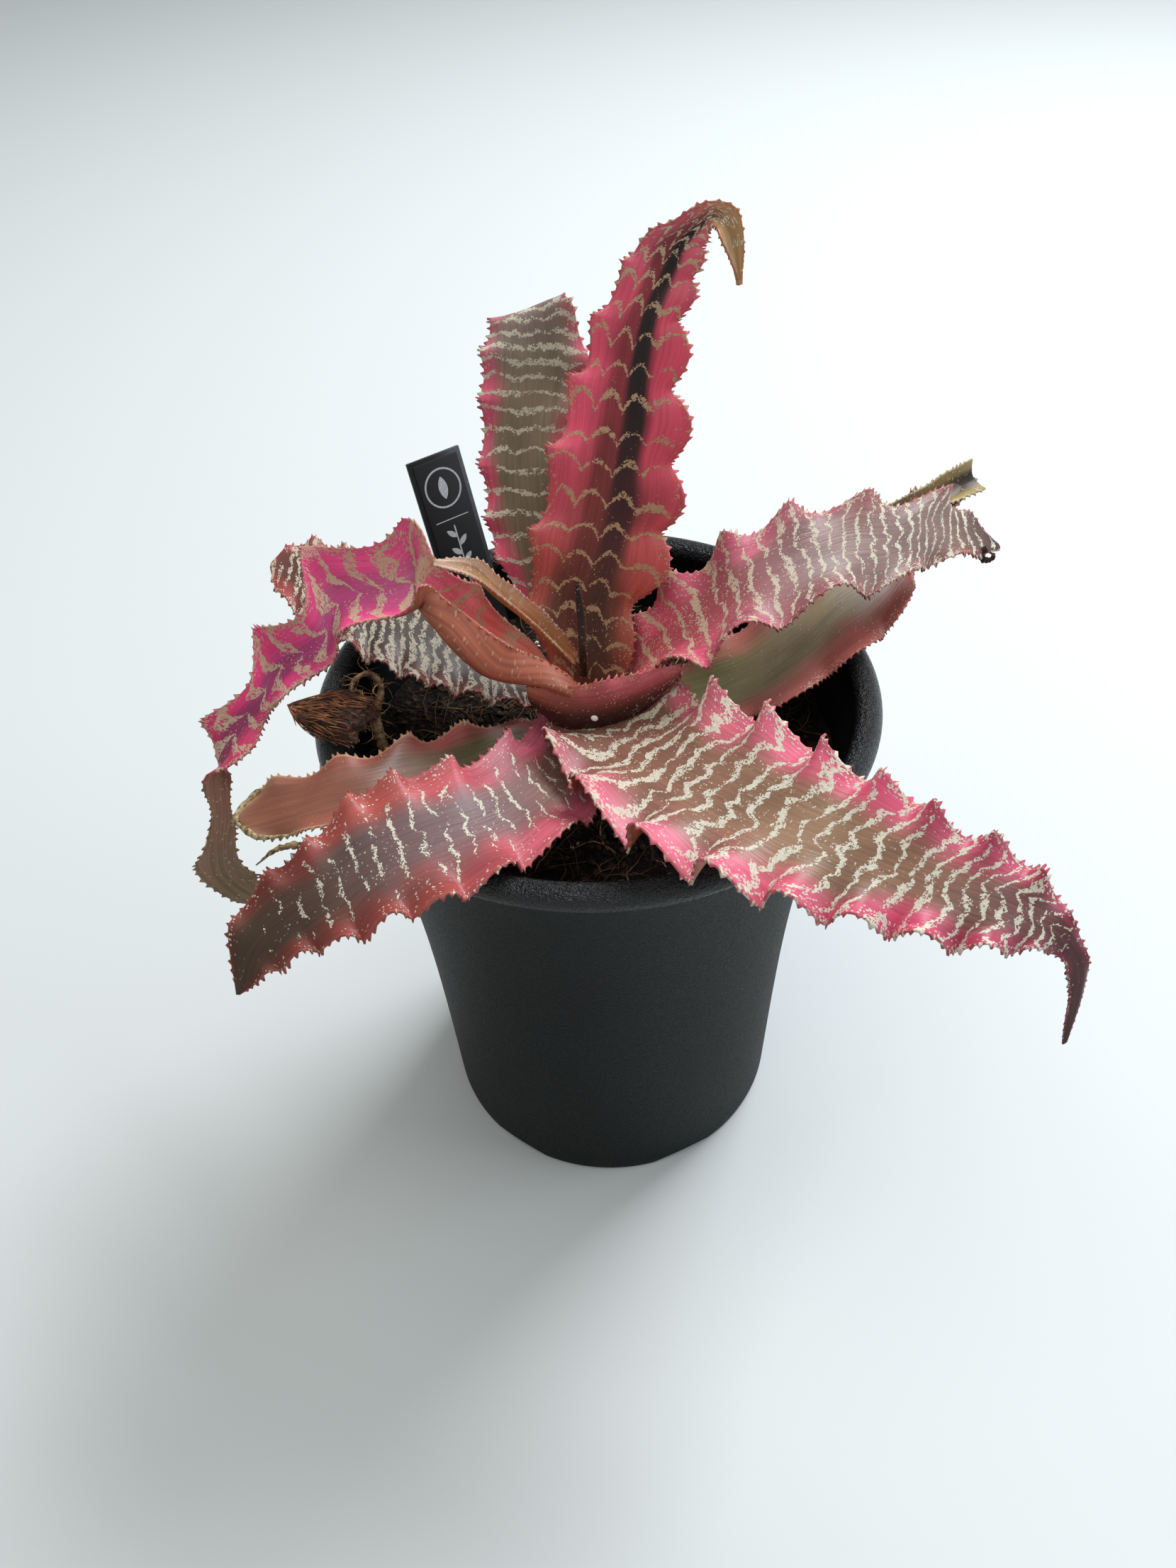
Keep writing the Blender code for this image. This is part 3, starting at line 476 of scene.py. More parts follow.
def leaf_fields(leaf, look, across, stations, distance, width, seed):
    """The colours and pattern amounts at each vertex, all as flat lists in the grid's order."""
    rows, columns = len(stations), len(across)
    station = np.repeat(stations, columns)
    far = np.repeat(distance, columns)
    a = np.tile(across, rows)
    aside = a * np.repeat(width, columns) / 2
    slow = blotches(far, aside, 9, seed)
    quick = blotches(far, aside, 3.5, seed + 20)
    centre = colours(look["centre"], station)
    margin = colours(look["margin"], station)
    pink = amounts(look["pink"], station)
    edge = ease(1 - pink - 0.34, 1 - pink + 0.20, np.abs(a) + 0.12 * slow + 0.03 * quick)[:, None]
    skin = centre * (1 - edge) + margin * edge
    rim = 0.5 * ease(0.93, 1.0, np.abs(a))[:, None]
    skin = skin * (1 - rim) + np.array(linear(look["rim"])) * rim
    # A stripe tints the skin along the leaf; the sheath's dark stripe is painted shade.
    for place, half, code, strength in look["stripes_and_painted_shade"]:
        inside = 1 - ease(0.45, 1.25, np.abs(a - place + 0.03 * slow) / half)
        inside = (inside * amounts(strength, station))[:, None]
        skin = skin * (1 - inside) + np.array(linear(code)) * inside
    skin[:, :3] *= (1 + 0.14 * slow + 0.06 * quick)[:, None]
    gap = amounts(look["gap"], stations)
    per_mm = np.repeat(1 / gap, columns)
    cycles = np.repeat(np.concatenate([[0], np.cumsum(np.diff(distance) / gap[1:])]), columns)
    arches, swell = lane_arches(look, a)
    phase = cycles - (amounts(look["slant"], station) * a + arches) * per_mm
    strength = amounts(look["bands"], station) * (1 - look["fade"] * ease(0.5, 0.95, np.abs(a)))
    bands = np.stack([phase, strength, amounts(look["width"], station) * swell], -1)
    scatter = amounts(look["flecks"], station) + look["rim_flecks"] * ease(0.72, 1.0, np.abs(a))
    flecks = np.stack([scatter, amounts(look["silver"], station), np.zeros(len(a))], -1)
    drift = np.stack([per_mm, np.full(len(a), look["jog"]), np.zeros(len(a))], -1)
    return {"skin": skin, "under": colours(look["under"], station), "bands": bands, "flecks": flecks,
            "drift": drift, "place": np.stack([aside, far, np.full(len(a), 7.0 * seed)], -1)}


def lane_arches(look, a):
    """How far each band bulges towards the tip in a leaf's lengthwise lanes, in mm, and how it swells."""
    lift, swell = np.zeros(len(a)), np.ones(len(a))
    lanes = look["lanes"]
    for low, high, arch in zip(lanes, lanes[1:], look["arch"]):
        share = np.clip((a - low) / (high - low), 0, 1)
        lift += arch * np.sin(math.pi * share) ** 0.8
        inside = (a >= low) & (a < high)
        swell[inside] += look["crescent"] * (1.4 * np.sin(math.pi * share[inside]) - 0.8)
    return lift, swell


def make_leaf(name, leaf, look, seed, materials, slot, *nodes):
    look = {**PLAIN, **look}
    points, across, stations, distance, width = leaf_grid(leaf, look, seed)
    rows, columns = points.shape[:2]
    bm = bmesh.new()
    bmesh.ops.create_grid(bm, x_segments=columns - 1, y_segments=rows - 1, size=1)
    mesh = bpy.data.meshes.new(name)
    bm.to_mesh(mesh)
    bm.free()
    flat = np.zeros(len(mesh.vertices) * 3)
    mesh.vertices.foreach_get("co", flat)
    grid = flat.reshape(-1, 3)
    column = np.rint((grid[:, 0] + 1) / 2 * (columns - 1)).astype(int)
    row = np.rint((grid[:, 1] + 1) / 2 * (rows - 1)).astype(int)
    places = points[row, column] * MM + np.array([0, 0, POT_HEIGHT])
    mesh.vertices.foreach_set("co", places.ravel())
    mesh.update()
    order = row * columns + column
    for key, values in leaf_fields(leaf, look, across, stations, distance, width, seed).items():
        kind = "FLOAT_COLOR" if values.shape[1] == 4 else "FLOAT_VECTOR"
        made = mesh.attributes.new(key, kind, "POINT")
        field = "color" if values.shape[1] == 4 else "vector"
        made.data.foreach_set(field, values[order].astype(np.float32).ravel())
    mesh.shade_smooth()
    piece = new_object(name, mesh, *materials)
    thin = piece.vertex_groups.new(name="thickness")
    reach = np.abs(across)[column]
    share = 1 - (1 - MARGIN_THICKNESS) * ease(0.5, 1, reach)
    for number, amount in enumerate(share):
        thin.add([number], float(amount), "REPLACE")
    solid = piece.modifiers.new("thickness", "SOLIDIFY")
    solid.thickness = LEAF_THICKNESS * MM
    solid.offset = 0
    solid.vertex_group = "thickness"
    solid.material_offset = 1
    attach(piece, "root")
    if nodes:
        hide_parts(*nodes)


# The flesh of a leaf: a little of the light goes in and spreads about 3 mm, mostly the red.
LEAF_FLESH = {"IOR": 1.42, "Subsurface Weight": 0.06, "Subsurface Radius": (0.003, 0.001, 0.0006),
              "Subsurface Scale": 1.0}


def leaf_upper():
    """Bromeliad leaf, upper face: a waxy, half glossy skin with matt silvery scurf in bands and grains.

    Each band wanders, with steps along its way, and its edges are ragged by about 0.2 mm. The grains of scurf
    are about 0.35 mm, close together in a band and single elsewhere. Veins 0.7 mm apart run lengthwise.
    """
    made, tree, shader = new_material("bromeliad_leaf_upper_face")
    skin = add(tree, "Attribute", output="Color", attribute_name="skin")
    bands, flecks, drift, place = [add(tree, "Attribute", output="Vector", attribute_name=field)
                                   for field in ("bands", "flecks", "drift", "place")]
    phase, strength, half = add(tree, "SeparateXYZ", (bands,)).node.outputs
    scatter, silver, _ = add(tree, "SeparateXYZ", (flecks,)).node.outputs
    per_mm, jog, _ = add(tree, "SeparateXYZ", (drift,)).node.outputs
    blots = {}
    for key, across_mm, along_mm, detail in (
            ("wander", 7, 18, 1.0), ("steps", 2.4, 11, 0.0), ("ragged", 0.8, 0.5, 2.0), ("thick", 6, 7, 2.0),
            ("kept", 6, 4, 2.0), ("worn", 1.5, 1.5, 2.0), ("clumps", 5, 7, 2.0), ("veins", 0.7, 18, 1.0)):
        scale = (1 / across_mm, 1 / along_mm, 1)
        scaled = add(tree, "VectorMath", (place, scale), operation="MULTIPLY")
        blots[key] = add(tree, "TexNoise", {"Vector": scaled, "Scale": 1.0, "Detail": detail})

    wander = add(tree, "MapRange", (blots["wander"], 0.0, 1.0, -2.6, 2.6))
    steps = add(tree, "MapRange", (blots["steps"], 0.0, 1.0, -0.9, 0.9))
    ragged = add(tree, "MapRange", (blots["ragged"], 0.0, 1.0, -0.6, 0.6))
    moved = add(tree, "Math", (wander, steps), operation="ADD")
    moved = add(tree, "Math", (moved, jog, ragged), operation="MULTIPLY_ADD")
    moved = add(tree, "Math", (moved, per_mm, phase), operation="MULTIPLY_ADD")
    away = add(tree, "Math", (moved, 0.5), operation="PINGPONG")
    away = add(tree, "Math", (away, per_mm), operation="DIVIDE")
    thick = add(tree, "MapRange", (blots["thick"], 0.32, 0.68, 0.35, 1.95))
    thick = add(tree, "Math", (thick, half), operation="MULTIPLY")
    away = add(tree, "Math", (away, thick), operation="SUBTRACT")
    inside = add(tree, "MapRange", (away, 0.38, -0.30))
    limit = add(tree, "MapRange", (strength, 0.0, 1.0, 0.66, 0.16))
    kept = add(tree, "Math", (blots["kept"], limit), operation="SUBTRACT")
    kept = add(tree, "MapRange", (kept, 0.0, 0.09))
    worn = add(tree, "MapRange", (blots["worn"], 0.32, 0.58, 0.45, 1.05))
    band = add(tree, "Math", (inside, kept), operation="MULTIPLY")
    band = add(tree, "Math", (band, worn), operation="MULTIPLY")

    cell = add(tree, "VectorMath", {0: place, "Scale": 1 / 0.35}, operation="SCALE")
    found = add(tree, "TexVoronoi", {"Vector": cell, "Scale": 1.0}, output="Color")
    chance = add(tree, "SeparateColor", {"Color": found})
    close = add(tree, "Math", (chance, -0.95, band), operation="MULTIPLY_ADD")
    close = add(tree, "MapRange", (close, 0.0, 0.12))
    clumps = add(tree, "MapRange", (blots["clumps"], 0.38, 0.62, 0.2, 1.3))
    single = add(tree, "Math", (scatter, clumps), operation="MULTIPLY")
    single = add(tree, "Math", (single, chance), operation="SUBTRACT")
    single = add(tree, "MapRange", (single, 0.0, 0.06))
    middle = add(tree, "MapRange", (found.node.outputs["Distance"], 0.75, 0.45))
    single = add(tree, "Math", (single, middle), operation="MULTIPLY")
    scurf = add(tree, "Math", (close, single), operation="MAXIMUM")

    shade = add(tree, "MapRange", (blots["veins"], 0.3, 0.7, 0.86, 1.12))
    skin = add(tree, "VectorMath", {0: skin, "Scale": shade}, operation="SCALE")
    grains = add(tree, "Mix", {"Factor": silver, 6: linear("#C09A74"), 7: linear("#DCD6C0")}, output=2,
                 data_type="RGBA")
    shade = add(tree, "MapRange", (chance, 0.0, 1.0, 1.0, 0.78))
    grains = add(tree, "VectorMath", {0: grains, "Scale": shade}, operation="SCALE")
    cover = add(tree, "Math", (scurf, 0.9), operation="MULTIPLY")
    colour = add(tree, "Mix", {"Factor": cover, 6: skin, 7: grains}, output=2, data_type="RGBA")
    rough = add(tree, "MapRange", (scurf, 0.0, 1.0, 0.43, 0.85))
    height = add(tree, "Math", (scurf, blots["veins"]), operation="ADD")
    bump = add(tree, "Bump", {"Height": height, "Strength": 0.8, "Distance": 0.1 * MM})
    wire(tree, shader, {"Base Color": colour, "Roughness": rough, "Normal": bump, **LEAF_FLESH})
    return made


def leaf_under():
    """Bromeliad leaf, underside: duller, with fine lengthwise lines and a thin even dusting of scurf."""
    made, tree, shader = new_material("bromeliad_leaf_underside")
    skin = add(tree, "Attribute", output="Color", attribute_name="under")
    place = add(tree, "Attribute", output="Vector", attribute_name="place")
    lines = add(tree, "VectorMath", (place, (1 / 0.45, 1 / 30, 1)), operation="MULTIPLY")
    lines = add(tree, "TexNoise", {"Vector": lines, "Scale": 1.0, "Detail": 1.0})
    shade = add(tree, "MapRange", (lines, 0.35, 0.6, 0.74, 1.04))
    slow = add(tree, "VectorMath", (place, (1 / 8, 1 / 12, 1)), operation="MULTIPLY")
    slow = add(tree, "TexNoise", {"Vector": slow, "Scale": 1.0})
    slow = add(tree, "MapRange", (slow, 0.3, 0.7, 0.85, 1.12))
    shade = add(tree, "Math", (shade, slow), operation="MULTIPLY")
    skin = add(tree, "VectorMath", {0: skin, "Scale": shade}, operation="SCALE")
    cell = add(tree, "VectorMath", {0: place, "Scale": 1 / 0.4}, operation="SCALE")
    found = add(tree, "TexVoronoi", {"Vector": cell, "Scale": 1.0}, output="Color")
    chance = add(tree, "SeparateColor", (found,))
    scurf = add(tree, "MapRange", (chance, 0.05, 0.02, 0.0, 0.5))
    colour = add(tree, "Mix", {"Factor": scurf, 6: skin, 7: linear("#C8B090")}, output=2, data_type="RGBA")
    height = add(tree, "Math", (lines, 0.08), operation="MULTIPLY")
    bump = add(tree, "Bump", {"Height": height, "Strength": 0.8, "Distance": MM})
    wire(tree, shader, {"Base Color": colour, "Roughness": 0.5, "Normal": bump, **LEAF_FLESH})
    return made


def stem_skin():
    """Bromeliad stem, cut and weathered: corky, dull brown, with fine cracks."""
    return mottled("bromeliad_stem_cork", 1.2, "#2A1A10", "#6A4A30", 0.85, detail=4.0, strength=1.0,
                   depth=0.4)


# ---------------------------------------------------------------- pot

def turned(profile, turns):
    """Turn a profile of (radius, height) points, whose ends are on the axis, once round the axis."""
    bm = bmesh.new()
    verts = [bm.verts.new((radius, 0, height)) for radius, height in profile]
    edges = [bm.edges.new(pair) for pair in zip(verts, verts[1:])]
    bmesh.ops.spin(bm, geom=verts + edges, cent=(0, 0, 0), axis=(0, 0, 1), angle=math.tau, steps=turns,
                   use_merge=True)
    bmesh.ops.remove_doubles(bm, verts=bm.verts, dist=1e-6)
    return bm


def wall_radius(height):
    """Radius of the pot's outside: a slight taper, and a flare near the top."""
    flare = RIM_RADIUS - WALL_INSET - BASE_RADIUS - WALL_TAPER * POT_HEIGHT
    return BASE_RADIUS + WALL_TAPER * height + flare * (height / POT_HEIGHT) ** FLARE_POWER


def arc(middle, radius, start, end, steps):
    angles = np.linspace(math.radians(start), math.radians(end), steps + 1)
    return [(middle[0] + radius * math.cos(a), middle[1] + radius * math.sin(a)) for a in angles]


def cut(piece, cutter_bm):
    """Take the cutter's shape out of the piece, for good."""
    cutter = object_from(cutter_bm, "cutter", smooth_angle=30)
    modifier = piece.modifiers.new("cut", "BOOLEAN")
    modifier.operation = "DIFFERENCE"
    modifier.solver = "EXACT"
    modifier.object = cutter
    graph = bpy.context.evaluated_depsgraph_get()
    piece.data = bpy.data.meshes.new_from_object(piece.evaluated_get(graph), depsgraph=graph)
    piece.modifiers.clear()
    bpy.data.objects.remove(cutter)


def make_pot():
    floor_top = FOOT_HEIGHT + BASE_PLATE
    bead = (RIM_RADIUS - BEAD_RADIUS, POT_HEIGHT - BEAD_RADIUS)
    parting = POT_HEIGHT - PARTING_LINE_DROP
    below_groove = parting - 2 * PARTING_GROOVE
    outside = [(wall_radius(h), h) for h in np.linspace(below_groove, HEEL_RADIUS, 40)]
    inside = [(wall_radius(h) - WALL, h) for h in np.linspace(floor_top, POT_HEIGHT - 2.5 * BEAD_RADIUS, 40)]
    heel = (wall_radius(0) - HEEL_RADIUS, HEEL_RADIUS)
    profile = [(0, floor_top)] + inside + arc(bead, BEAD_RADIUS, 205, -25, 28)
    profile += [(RIM_RADIUS - WALL_INSET - PARTING_GROOVE, parting)] + outside
    profile += arc(heel, HEEL_RADIUS, -10, -90, 6)
    foot_inside = BASE_RADIUS - FOOT_WIDTH
    profile += [(foot_inside, 0), (foot_inside, FOOT_HEIGHT)]
    profile += [(PAD_RADIUS, FOOT_HEIGHT), (PAD_RADIUS, 0), (0, 0)]
    pot = object_from(turned(profile, 168), "pot_body", black_wall(), black_bead(), smooth_angle=35)
    notches = bmesh.new()
    holes = bmesh.new()
    for number in range(DRAINS):
        turn = Matrix.Rotation(FIRST_NOTCH + number * math.tau / DRAINS, 4, "Z")
        arch = Matrix.Diagonal((FOOT_WIDTH + PAD_RADIUS, NOTCH_WIDTH / 2, NOTCH_HEIGHT, 1))
        place = turn @ Matrix.Translation((BASE_RADIUS - FOOT_WIDTH / 2, 0, 0)) @ arch
        place = place @ Matrix.Rotation(math.pi / 2, 4, "Y")
        bmesh.ops.create_cone(notches, cap_ends=True, segments=48, radius1=1, radius2=1, depth=1,
                              matrix=place)
        drain = turn @ Matrix.Translation(((PAD_RADIUS + foot_inside) / 2, 0, FOOT_HEIGHT))
        bmesh.ops.create_cone(holes, cap_ends=True, segments=32, radius1=DRAIN_RADIUS, radius2=DRAIN_RADIUS,
                              depth=4 * BASE_PLATE, matrix=drain)
    cut(pot, notches)
    cut(pot, holes)
    for face in pot.data.polygons:
        if face.center.z > below_groove:
            face.material_index = 1
    pot.data.shade_smooth()
    pot.data.set_sharp_from_angle(angle=math.radians(35))
    stand_for(pot, "pot", "pot")


def black_wall():
    """Polypropylene from a spark eroded mould: charcoal, matt, with an even sparkle of 0.5 mm grains, whose
    tops are painted a little lighter as painted glints.
    """
    made, tree, shader = new_material("polypropylene_spark_texture")
    place = add(tree, "TexCoord", output="Object")
    grain = add(tree, "TexNoise", {"Vector": place, "Scale": 1 / (0.55 * MM), "Detail": 2.0})
    slow = add(tree, "TexNoise", {"Vector": place, "Scale": 1 / (35 * MM), "Detail": 2.0})
    dust = add(tree, "TexVoronoi", {"Vector": place, "Scale": 1 / (4.5 * MM)}, output="Distance")
    dust = add(tree, "MapRange", (dust, 0.055, 0.035, 0.0, 0.5))
    tone = add(tree, "MapRange", (slow, 0.3, 0.7))
    # The tops of the 0.5 mm grains are painted lighter: painted sparkle, glints on the grain.
    painted_sparkle = add(tree, "MapRange", (grain, 0.52, 0.66, 0.0, 0.6))
    tone = add(tree, "Math", (tone, painted_sparkle), operation="ADD", use_clamp=True)
    base = add(tree, "Mix", {"Factor": tone, 6: linear("#050808"), 7: linear("#0A1010")}, output=2,
               data_type="RGBA")
    base = add(tree, "Mix", {"Factor": dust, 6: base, 7: linear("#4A4F52")}, output=2, data_type="RGBA")
    rough = add(tree, "MapRange", (grain, 0.3, 0.7, 0.48, 0.68))
    bump = add(tree, "Bump", {"Height": grain, "Strength": 0.8, "Distance": 0.2 * MM})
    wire(tree, shader, {"Base Color": base, "Roughness": rough, "Normal": bump, "IOR": 1.49,
                        "Specular IOR Level": 0.2})
    return made


def black_bead():
    """The same plastic on the rim, from a leather grained mould: glossier, with pebbles of 0.8 mm."""
    made, tree, shader = new_material("polypropylene_leather_grain")
    place = add(tree, "TexCoord", output="Object")
    wander = add(tree, "TexNoise", {"Vector": place, "Scale": 1 / (2 * MM)}, output="Color")
    wander = add(tree, "VectorMath", {0: wander, "Scale": 0.5 * MM}, operation="SCALE")
    moved = add(tree, "VectorMath", (place, wander), operation="ADD")
    pebbles = add(tree, "TexVoronoi", {"Vector": moved, "Scale": 1 / (0.85 * MM)}, output="Distance",
                  feature="SMOOTH_F1")
    fine = add(tree, "TexNoise", {"Vector": place, "Scale": 1 / (0.3 * MM), "Detail": 1.0})
    height = add(tree, "Math", (pebbles, fine), operation="ADD")
    bump = add(tree, "Bump", {"Height": height, "Strength": 1.0, "Distance": 0.5 * MM})
    rough = add(tree, "MapRange", (fine, 0.3, 0.7, 0.2, 0.36))
    wire(tree, shader, {"Base Color": linear("#060809"), "Roughness": rough, "Normal": bump, "IOR": 1.49})
    return made


# ---------------------------------------------------------------- soil and what lies on it

def soil_height(x, y):
    """Height of the potting mix at a place: lumps of about 12, 5 and 2 mm."""
    here = Vector((x, y, 0)) / MM
    lumps = 1.3 * noise.noise(here / 12) + 0.8 * noise.noise(here / 5 + Vector((9, 0, 0)))
    return SOIL_TOP + MM * (lumps + 0.45 * noise.noise(here / 2 + Vector((0, 5, 0))))


def make_soil():
    floor_top = FOOT_HEIGHT + BASE_PLATE + GAP
    side = [(wall_radius(h) - WALL - 2 * GAP, h) for h in np.linspace(floor_top, SOIL_TOP, 20)]
    edge = side[-1][0]
    top = [(edge * share, SOIL_TOP) for share in np.linspace(0.985, 0.02, 74)]
    bm = turned([(0, floor_top)] + side + top + [(0, SOIL_TOP)], 150)
    for vert in bm.verts:
        if vert.co.z > SOIL_TOP - 1e-6 and vert.co.xy.length < 0.99 * edge:
            vert.co.z = soil_height(vert.co.x, vert.co.y)
    soil = object_from(bm, "potting_mix", potting_mix(), smooth_angle=70)
    stand_for(soil, "soil", "soil")


def potting_mix():
    """Peat and composted bark, damp: nearly black, in crumbs of about 1.5 mm with brown bits."""
    made, tree, shader = new_material("peat_potting_mix")
    place = add(tree, "TexCoord", output="Object")
    crumbs = add(tree, "TexVoronoi", {"Vector": place, "Scale": 1 / (1.4 * MM)}, output="Color")
    distance = crumbs.node.outputs["Distance"]
    pick = add(tree, "SeparateColor", {"Color": crumbs})
    fine = add(tree, "TexNoise", {"Vector": place, "Scale": 1 / (0.6 * MM), "Detail": 4.0})
    brown = add(tree, "MapRange", (pick, 0.72, 1.0))
    brown = add(tree, "Math", (brown, fine), operation="MULTIPLY")
    base = add(tree, "Mix", {"Factor": brown, 6: linear("#18110C"), 7: linear("#5E4632")}, output=2,
               data_type="RGBA")
    height = add(tree, "Math", (distance, fine), operation="SUBTRACT")
    bump = add(tree, "Bump", {"Height": height, "Strength": 1.0, "Distance": 1.0 * MM})
    wire(tree, shader, {"Base Color": base, "Roughness": 0.95, "Normal": bump, "Specular IOR Level": 0.25})
    return made


def add_strand(curve, route, widths):
    """One fibre of a bundle, through its places in metres, with its width at each of them."""
    spline = curve.splines.new("POLY")
    spline.points.add(len(route) - 1)
    for point, place, width in zip(spline.points, route, widths):
        point.co = (*place, 1)
        point.radius = width


def new_bundle(name, sides=4):
    curve = bpy.data.curves.new(name, "CURVE")
    curve.dimensions = "3D"
    curve.bevel_depth = 0.5
    curve.bevel_resolution = max(sides // 2 - 2, 0)
    curve.use_fill_caps = True
    return curve


def inside_pot(pick, reach=0.93):
    turn = pick.uniform(0, math.tau)
    radius = (wall_radius(SOIL_TOP) - WALL) * reach * math.sqrt(pick.random())
    return radius * math.cos(turn), radius * math.sin(turn)


def lying_route(pick, length, bend):
    """A crooked line of the given length that lies on the potting mix."""
    x, y = inside_pot(pick, 0.86)
    turn = pick.uniform(0, math.tau)
    curl = pick.uniform(-bend, bend)
    steps = 6
    limit = wall_radius(SOIL_TOP) - WALL - 1.5 * MM
    route = []
    for step in range(steps + 1):
        route.append((x, y, soil_height(x, y) + pick.uniform(-0.1, 0.9) * MM))
        x += math.cos(turn) * length / steps
        y += math.sin(turn) * length / steps
        if math.hypot(x, y) > limit:
            x, y = x * limit / math.hypot(x, y), y * limit / math.hypot(x, y)
        turn += curl + pick.uniform(-0.25, 0.25)
    return route


def make_litter():
    pick = random.Random(5)
    for name, count, longest, width, material in (
            ("coir_fibres", 620, 20, 0.26, fibre("coir_fibre", "#38220F", "#8C6240", 6)),
            ("straw_bits", 70, 15, 0.42, fibre("dry_straw", "#8A6A40", "#C8A870", 5))):
        curve = new_bundle(name)
        for _ in range(count):
            length = pick.uniform(0.25, 1) * longest * MM
            thick = width * MM * pick.uniform(0.6, 1.3)
            shape = [0.5, 1, 1, 0.95, 0.9, 0.7, 0.3]
            add_strand(curve, lying_route(pick, length, 0.35), [thick * s for s in shape])
        add_piece(new_object(name, curve, material))
    for name, count, low, high, flat, slot, material in (
            ("bark_crumbs", 360, 0.9, 3.2, 0.6, "soil", fibre("composted_bark", "#1A100A", "#4E3522", 1.5)),
            ("perlite_grains", 26, 0.7, 1.8, 0.9, "perlite", perlite())):
        bm = bmesh.new()
        for _ in range(count):
            x, y = inside_pot(pick)
            size = pick.uniform(low, high) * MM * pick.uniform(0.6, 1)
            add_crumb(bm, (x, y, soil_height(x, y) + 0.15 * size), size, flat, pick)
        add_piece(object_from(bm, name, material, smooth_angle=25))


def add_crumb(bm, middle, size, flat, pick):
    turn = Matrix.Rotation(pick.uniform(0, math.tau), 4, "Z")
    turn = turn @ Matrix.Rotation(pick.uniform(-0.5, 0.5), 4, "X")
    scale = Matrix.Diagonal((pick.uniform(0.8, 1.4), pick.uniform(0.6, 1), flat * pick.uniform(0.6, 1), 1))
    made = bmesh.ops.create_icosphere(bm, subdivisions=1, radius=size / 2)
    for vert in made["verts"]:
        vert.co *= pick.uniform(0.75, 1.15)
    bmesh.ops.transform(bm, matrix=Matrix.Translation(middle) @ turn @ scale, verts=made["verts"])


def perlite():
    """Expanded volcanic glass: chalky white and full of pinholes."""
    return mottled("perlite", 0.35, "#A89C88", "#E6DFD0", 0.9, detail=0.0, ends=(0.05, 0.3), strength=0.8,
                   depth=0.1, kind="TexVoronoi")


def make_perlite_bead():
    low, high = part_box("perlite_bead")
    bm = bmesh.new()
    bmesh.ops.create_icosphere(bm, subdivisions=3, radius=(high.x - low.x) / 2)
    for vert in bm.verts:
        vert.co *= 1 + 0.12 * noise.noise(vert.co / MM * 1.2)
    bmesh.ops.translate(bm, verts=bm.verts, vec=(low + high) / 2)
    stand_for(object_from(bm, "perlite_on_crown", bpy.data.materials["perlite"]), "perlite", "perlite_bead")


COIR_SIZE = Vector((0.0196, 0.0116, 0.0056))
COIR_HEADING = math.radians(-28)
COIR_PITCH = math.radians(-6)
COIR_STRANDS = 420


def wedge(x):
    """How the husk narrows towards one end."""
    return 1 - 0.72 * max(-x, 0) ** 1.2


def make_coir_chunk():
    """A wedge of coconut husk: a felted block, with its fibres lying mostly one way and frayed at the end."""
    pick = random.Random(11)
    low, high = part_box("coir_chunk")
    middle = (low + high) / 2
    turn = Matrix.Rotation(COIR_HEADING, 4, "Z") @ Matrix.Rotation(COIR_PITCH, 4, "Y")
    half = COIR_SIZE / 2
    bm = bmesh.new()
    bmesh.ops.create_cube(bm, size=2)
    bmesh.ops.subdivide_edges(bm, edges=bm.edges, cuts=15, use_grid_fill=True)
    for vert in bm.verts:
        x, y, z = vert.co
        vert.co = Vector((x * half.x, (y + 0.4 * min(x, 0)) * half.y * wedge(x), z * half.z * wedge(x)))
        vert.co *= 1 + 0.16 * noise.noise(vert.co / MM / 3)
        vert.co += 0.8 * MM * noise.noise_vector(vert.co / MM / 1.3)
    bmesh.ops.smooth_vert(bm, verts=bm.verts, factor=0.3, use_axis_x=True, use_axis_y=True, use_axis_z=True)
    bmesh.ops.transform(bm, matrix=Matrix.Translation(middle) @ turn, verts=bm.verts)
    block = object_from(bm, "coir_block", fibre("coir_felt", "#140B07", "#52301E", 1.2), smooth_angle=70)
    stand_for(block, "coir", "coir_chunk")
    curve = new_bundle("coir_block_fibres")
    for _ in range(COIR_STRANDS):
        side = pick.choice("xxyyzzz")
        x, y, z = pick.uniform(-1.3, 0.75), pick.uniform(-1, 1), pick.uniform(-1, 1)
        if side == "y":
            y = pick.choice((-1.04, 1.04))
        elif side == "z":
            z = pick.choice((1.05, 1.05, -1.05))
        length = pick.uniform(0.25, 0.9)
        sway = pick.uniform(-0.35, 0.35)
        route = []
        for step in range(6):
            share = step / 5
            lift = 0.10 * math.sin(3 * share + y)
            spot = Vector((min(x + length * share, 1.08), y + sway * share, z + lift))
            spot.y = (spot.y + 0.4 * min(spot.x, 0)) * half.y * wedge(spot.x)
            spot = Vector((spot.x * half.x, spot.y, spot.z * half.z * wedge(spot.x)))
            route.append(Matrix.Translation(middle) @ turn @ spot)
        thick = pick.uniform(0.16, 0.42) * MM
        add_strand(curve, route, [thick * s for s in (0.6, 1, 1, 1, 0.8, 0.4)])
    add_piece(new_object("coir_block_fibres", curve, fibre("coir_strand", "#3E2012", "#A4663C", 3)))


DEAD_ROOT = [(-55, -3, -17), (-56, -1, -12), (-56, 1, -7), (-54, 4, -1), (-57, 7, 1), (-61, 5, 0),
             (-62, 1, -4), (-60, 0, -7)]
DEAD_ROOT_WIDTHS = [3.4, 3.2, 2.6, 1.8, 1.5, 1.3, 1.2, 1.0]
HAIR_ROOTS = 80


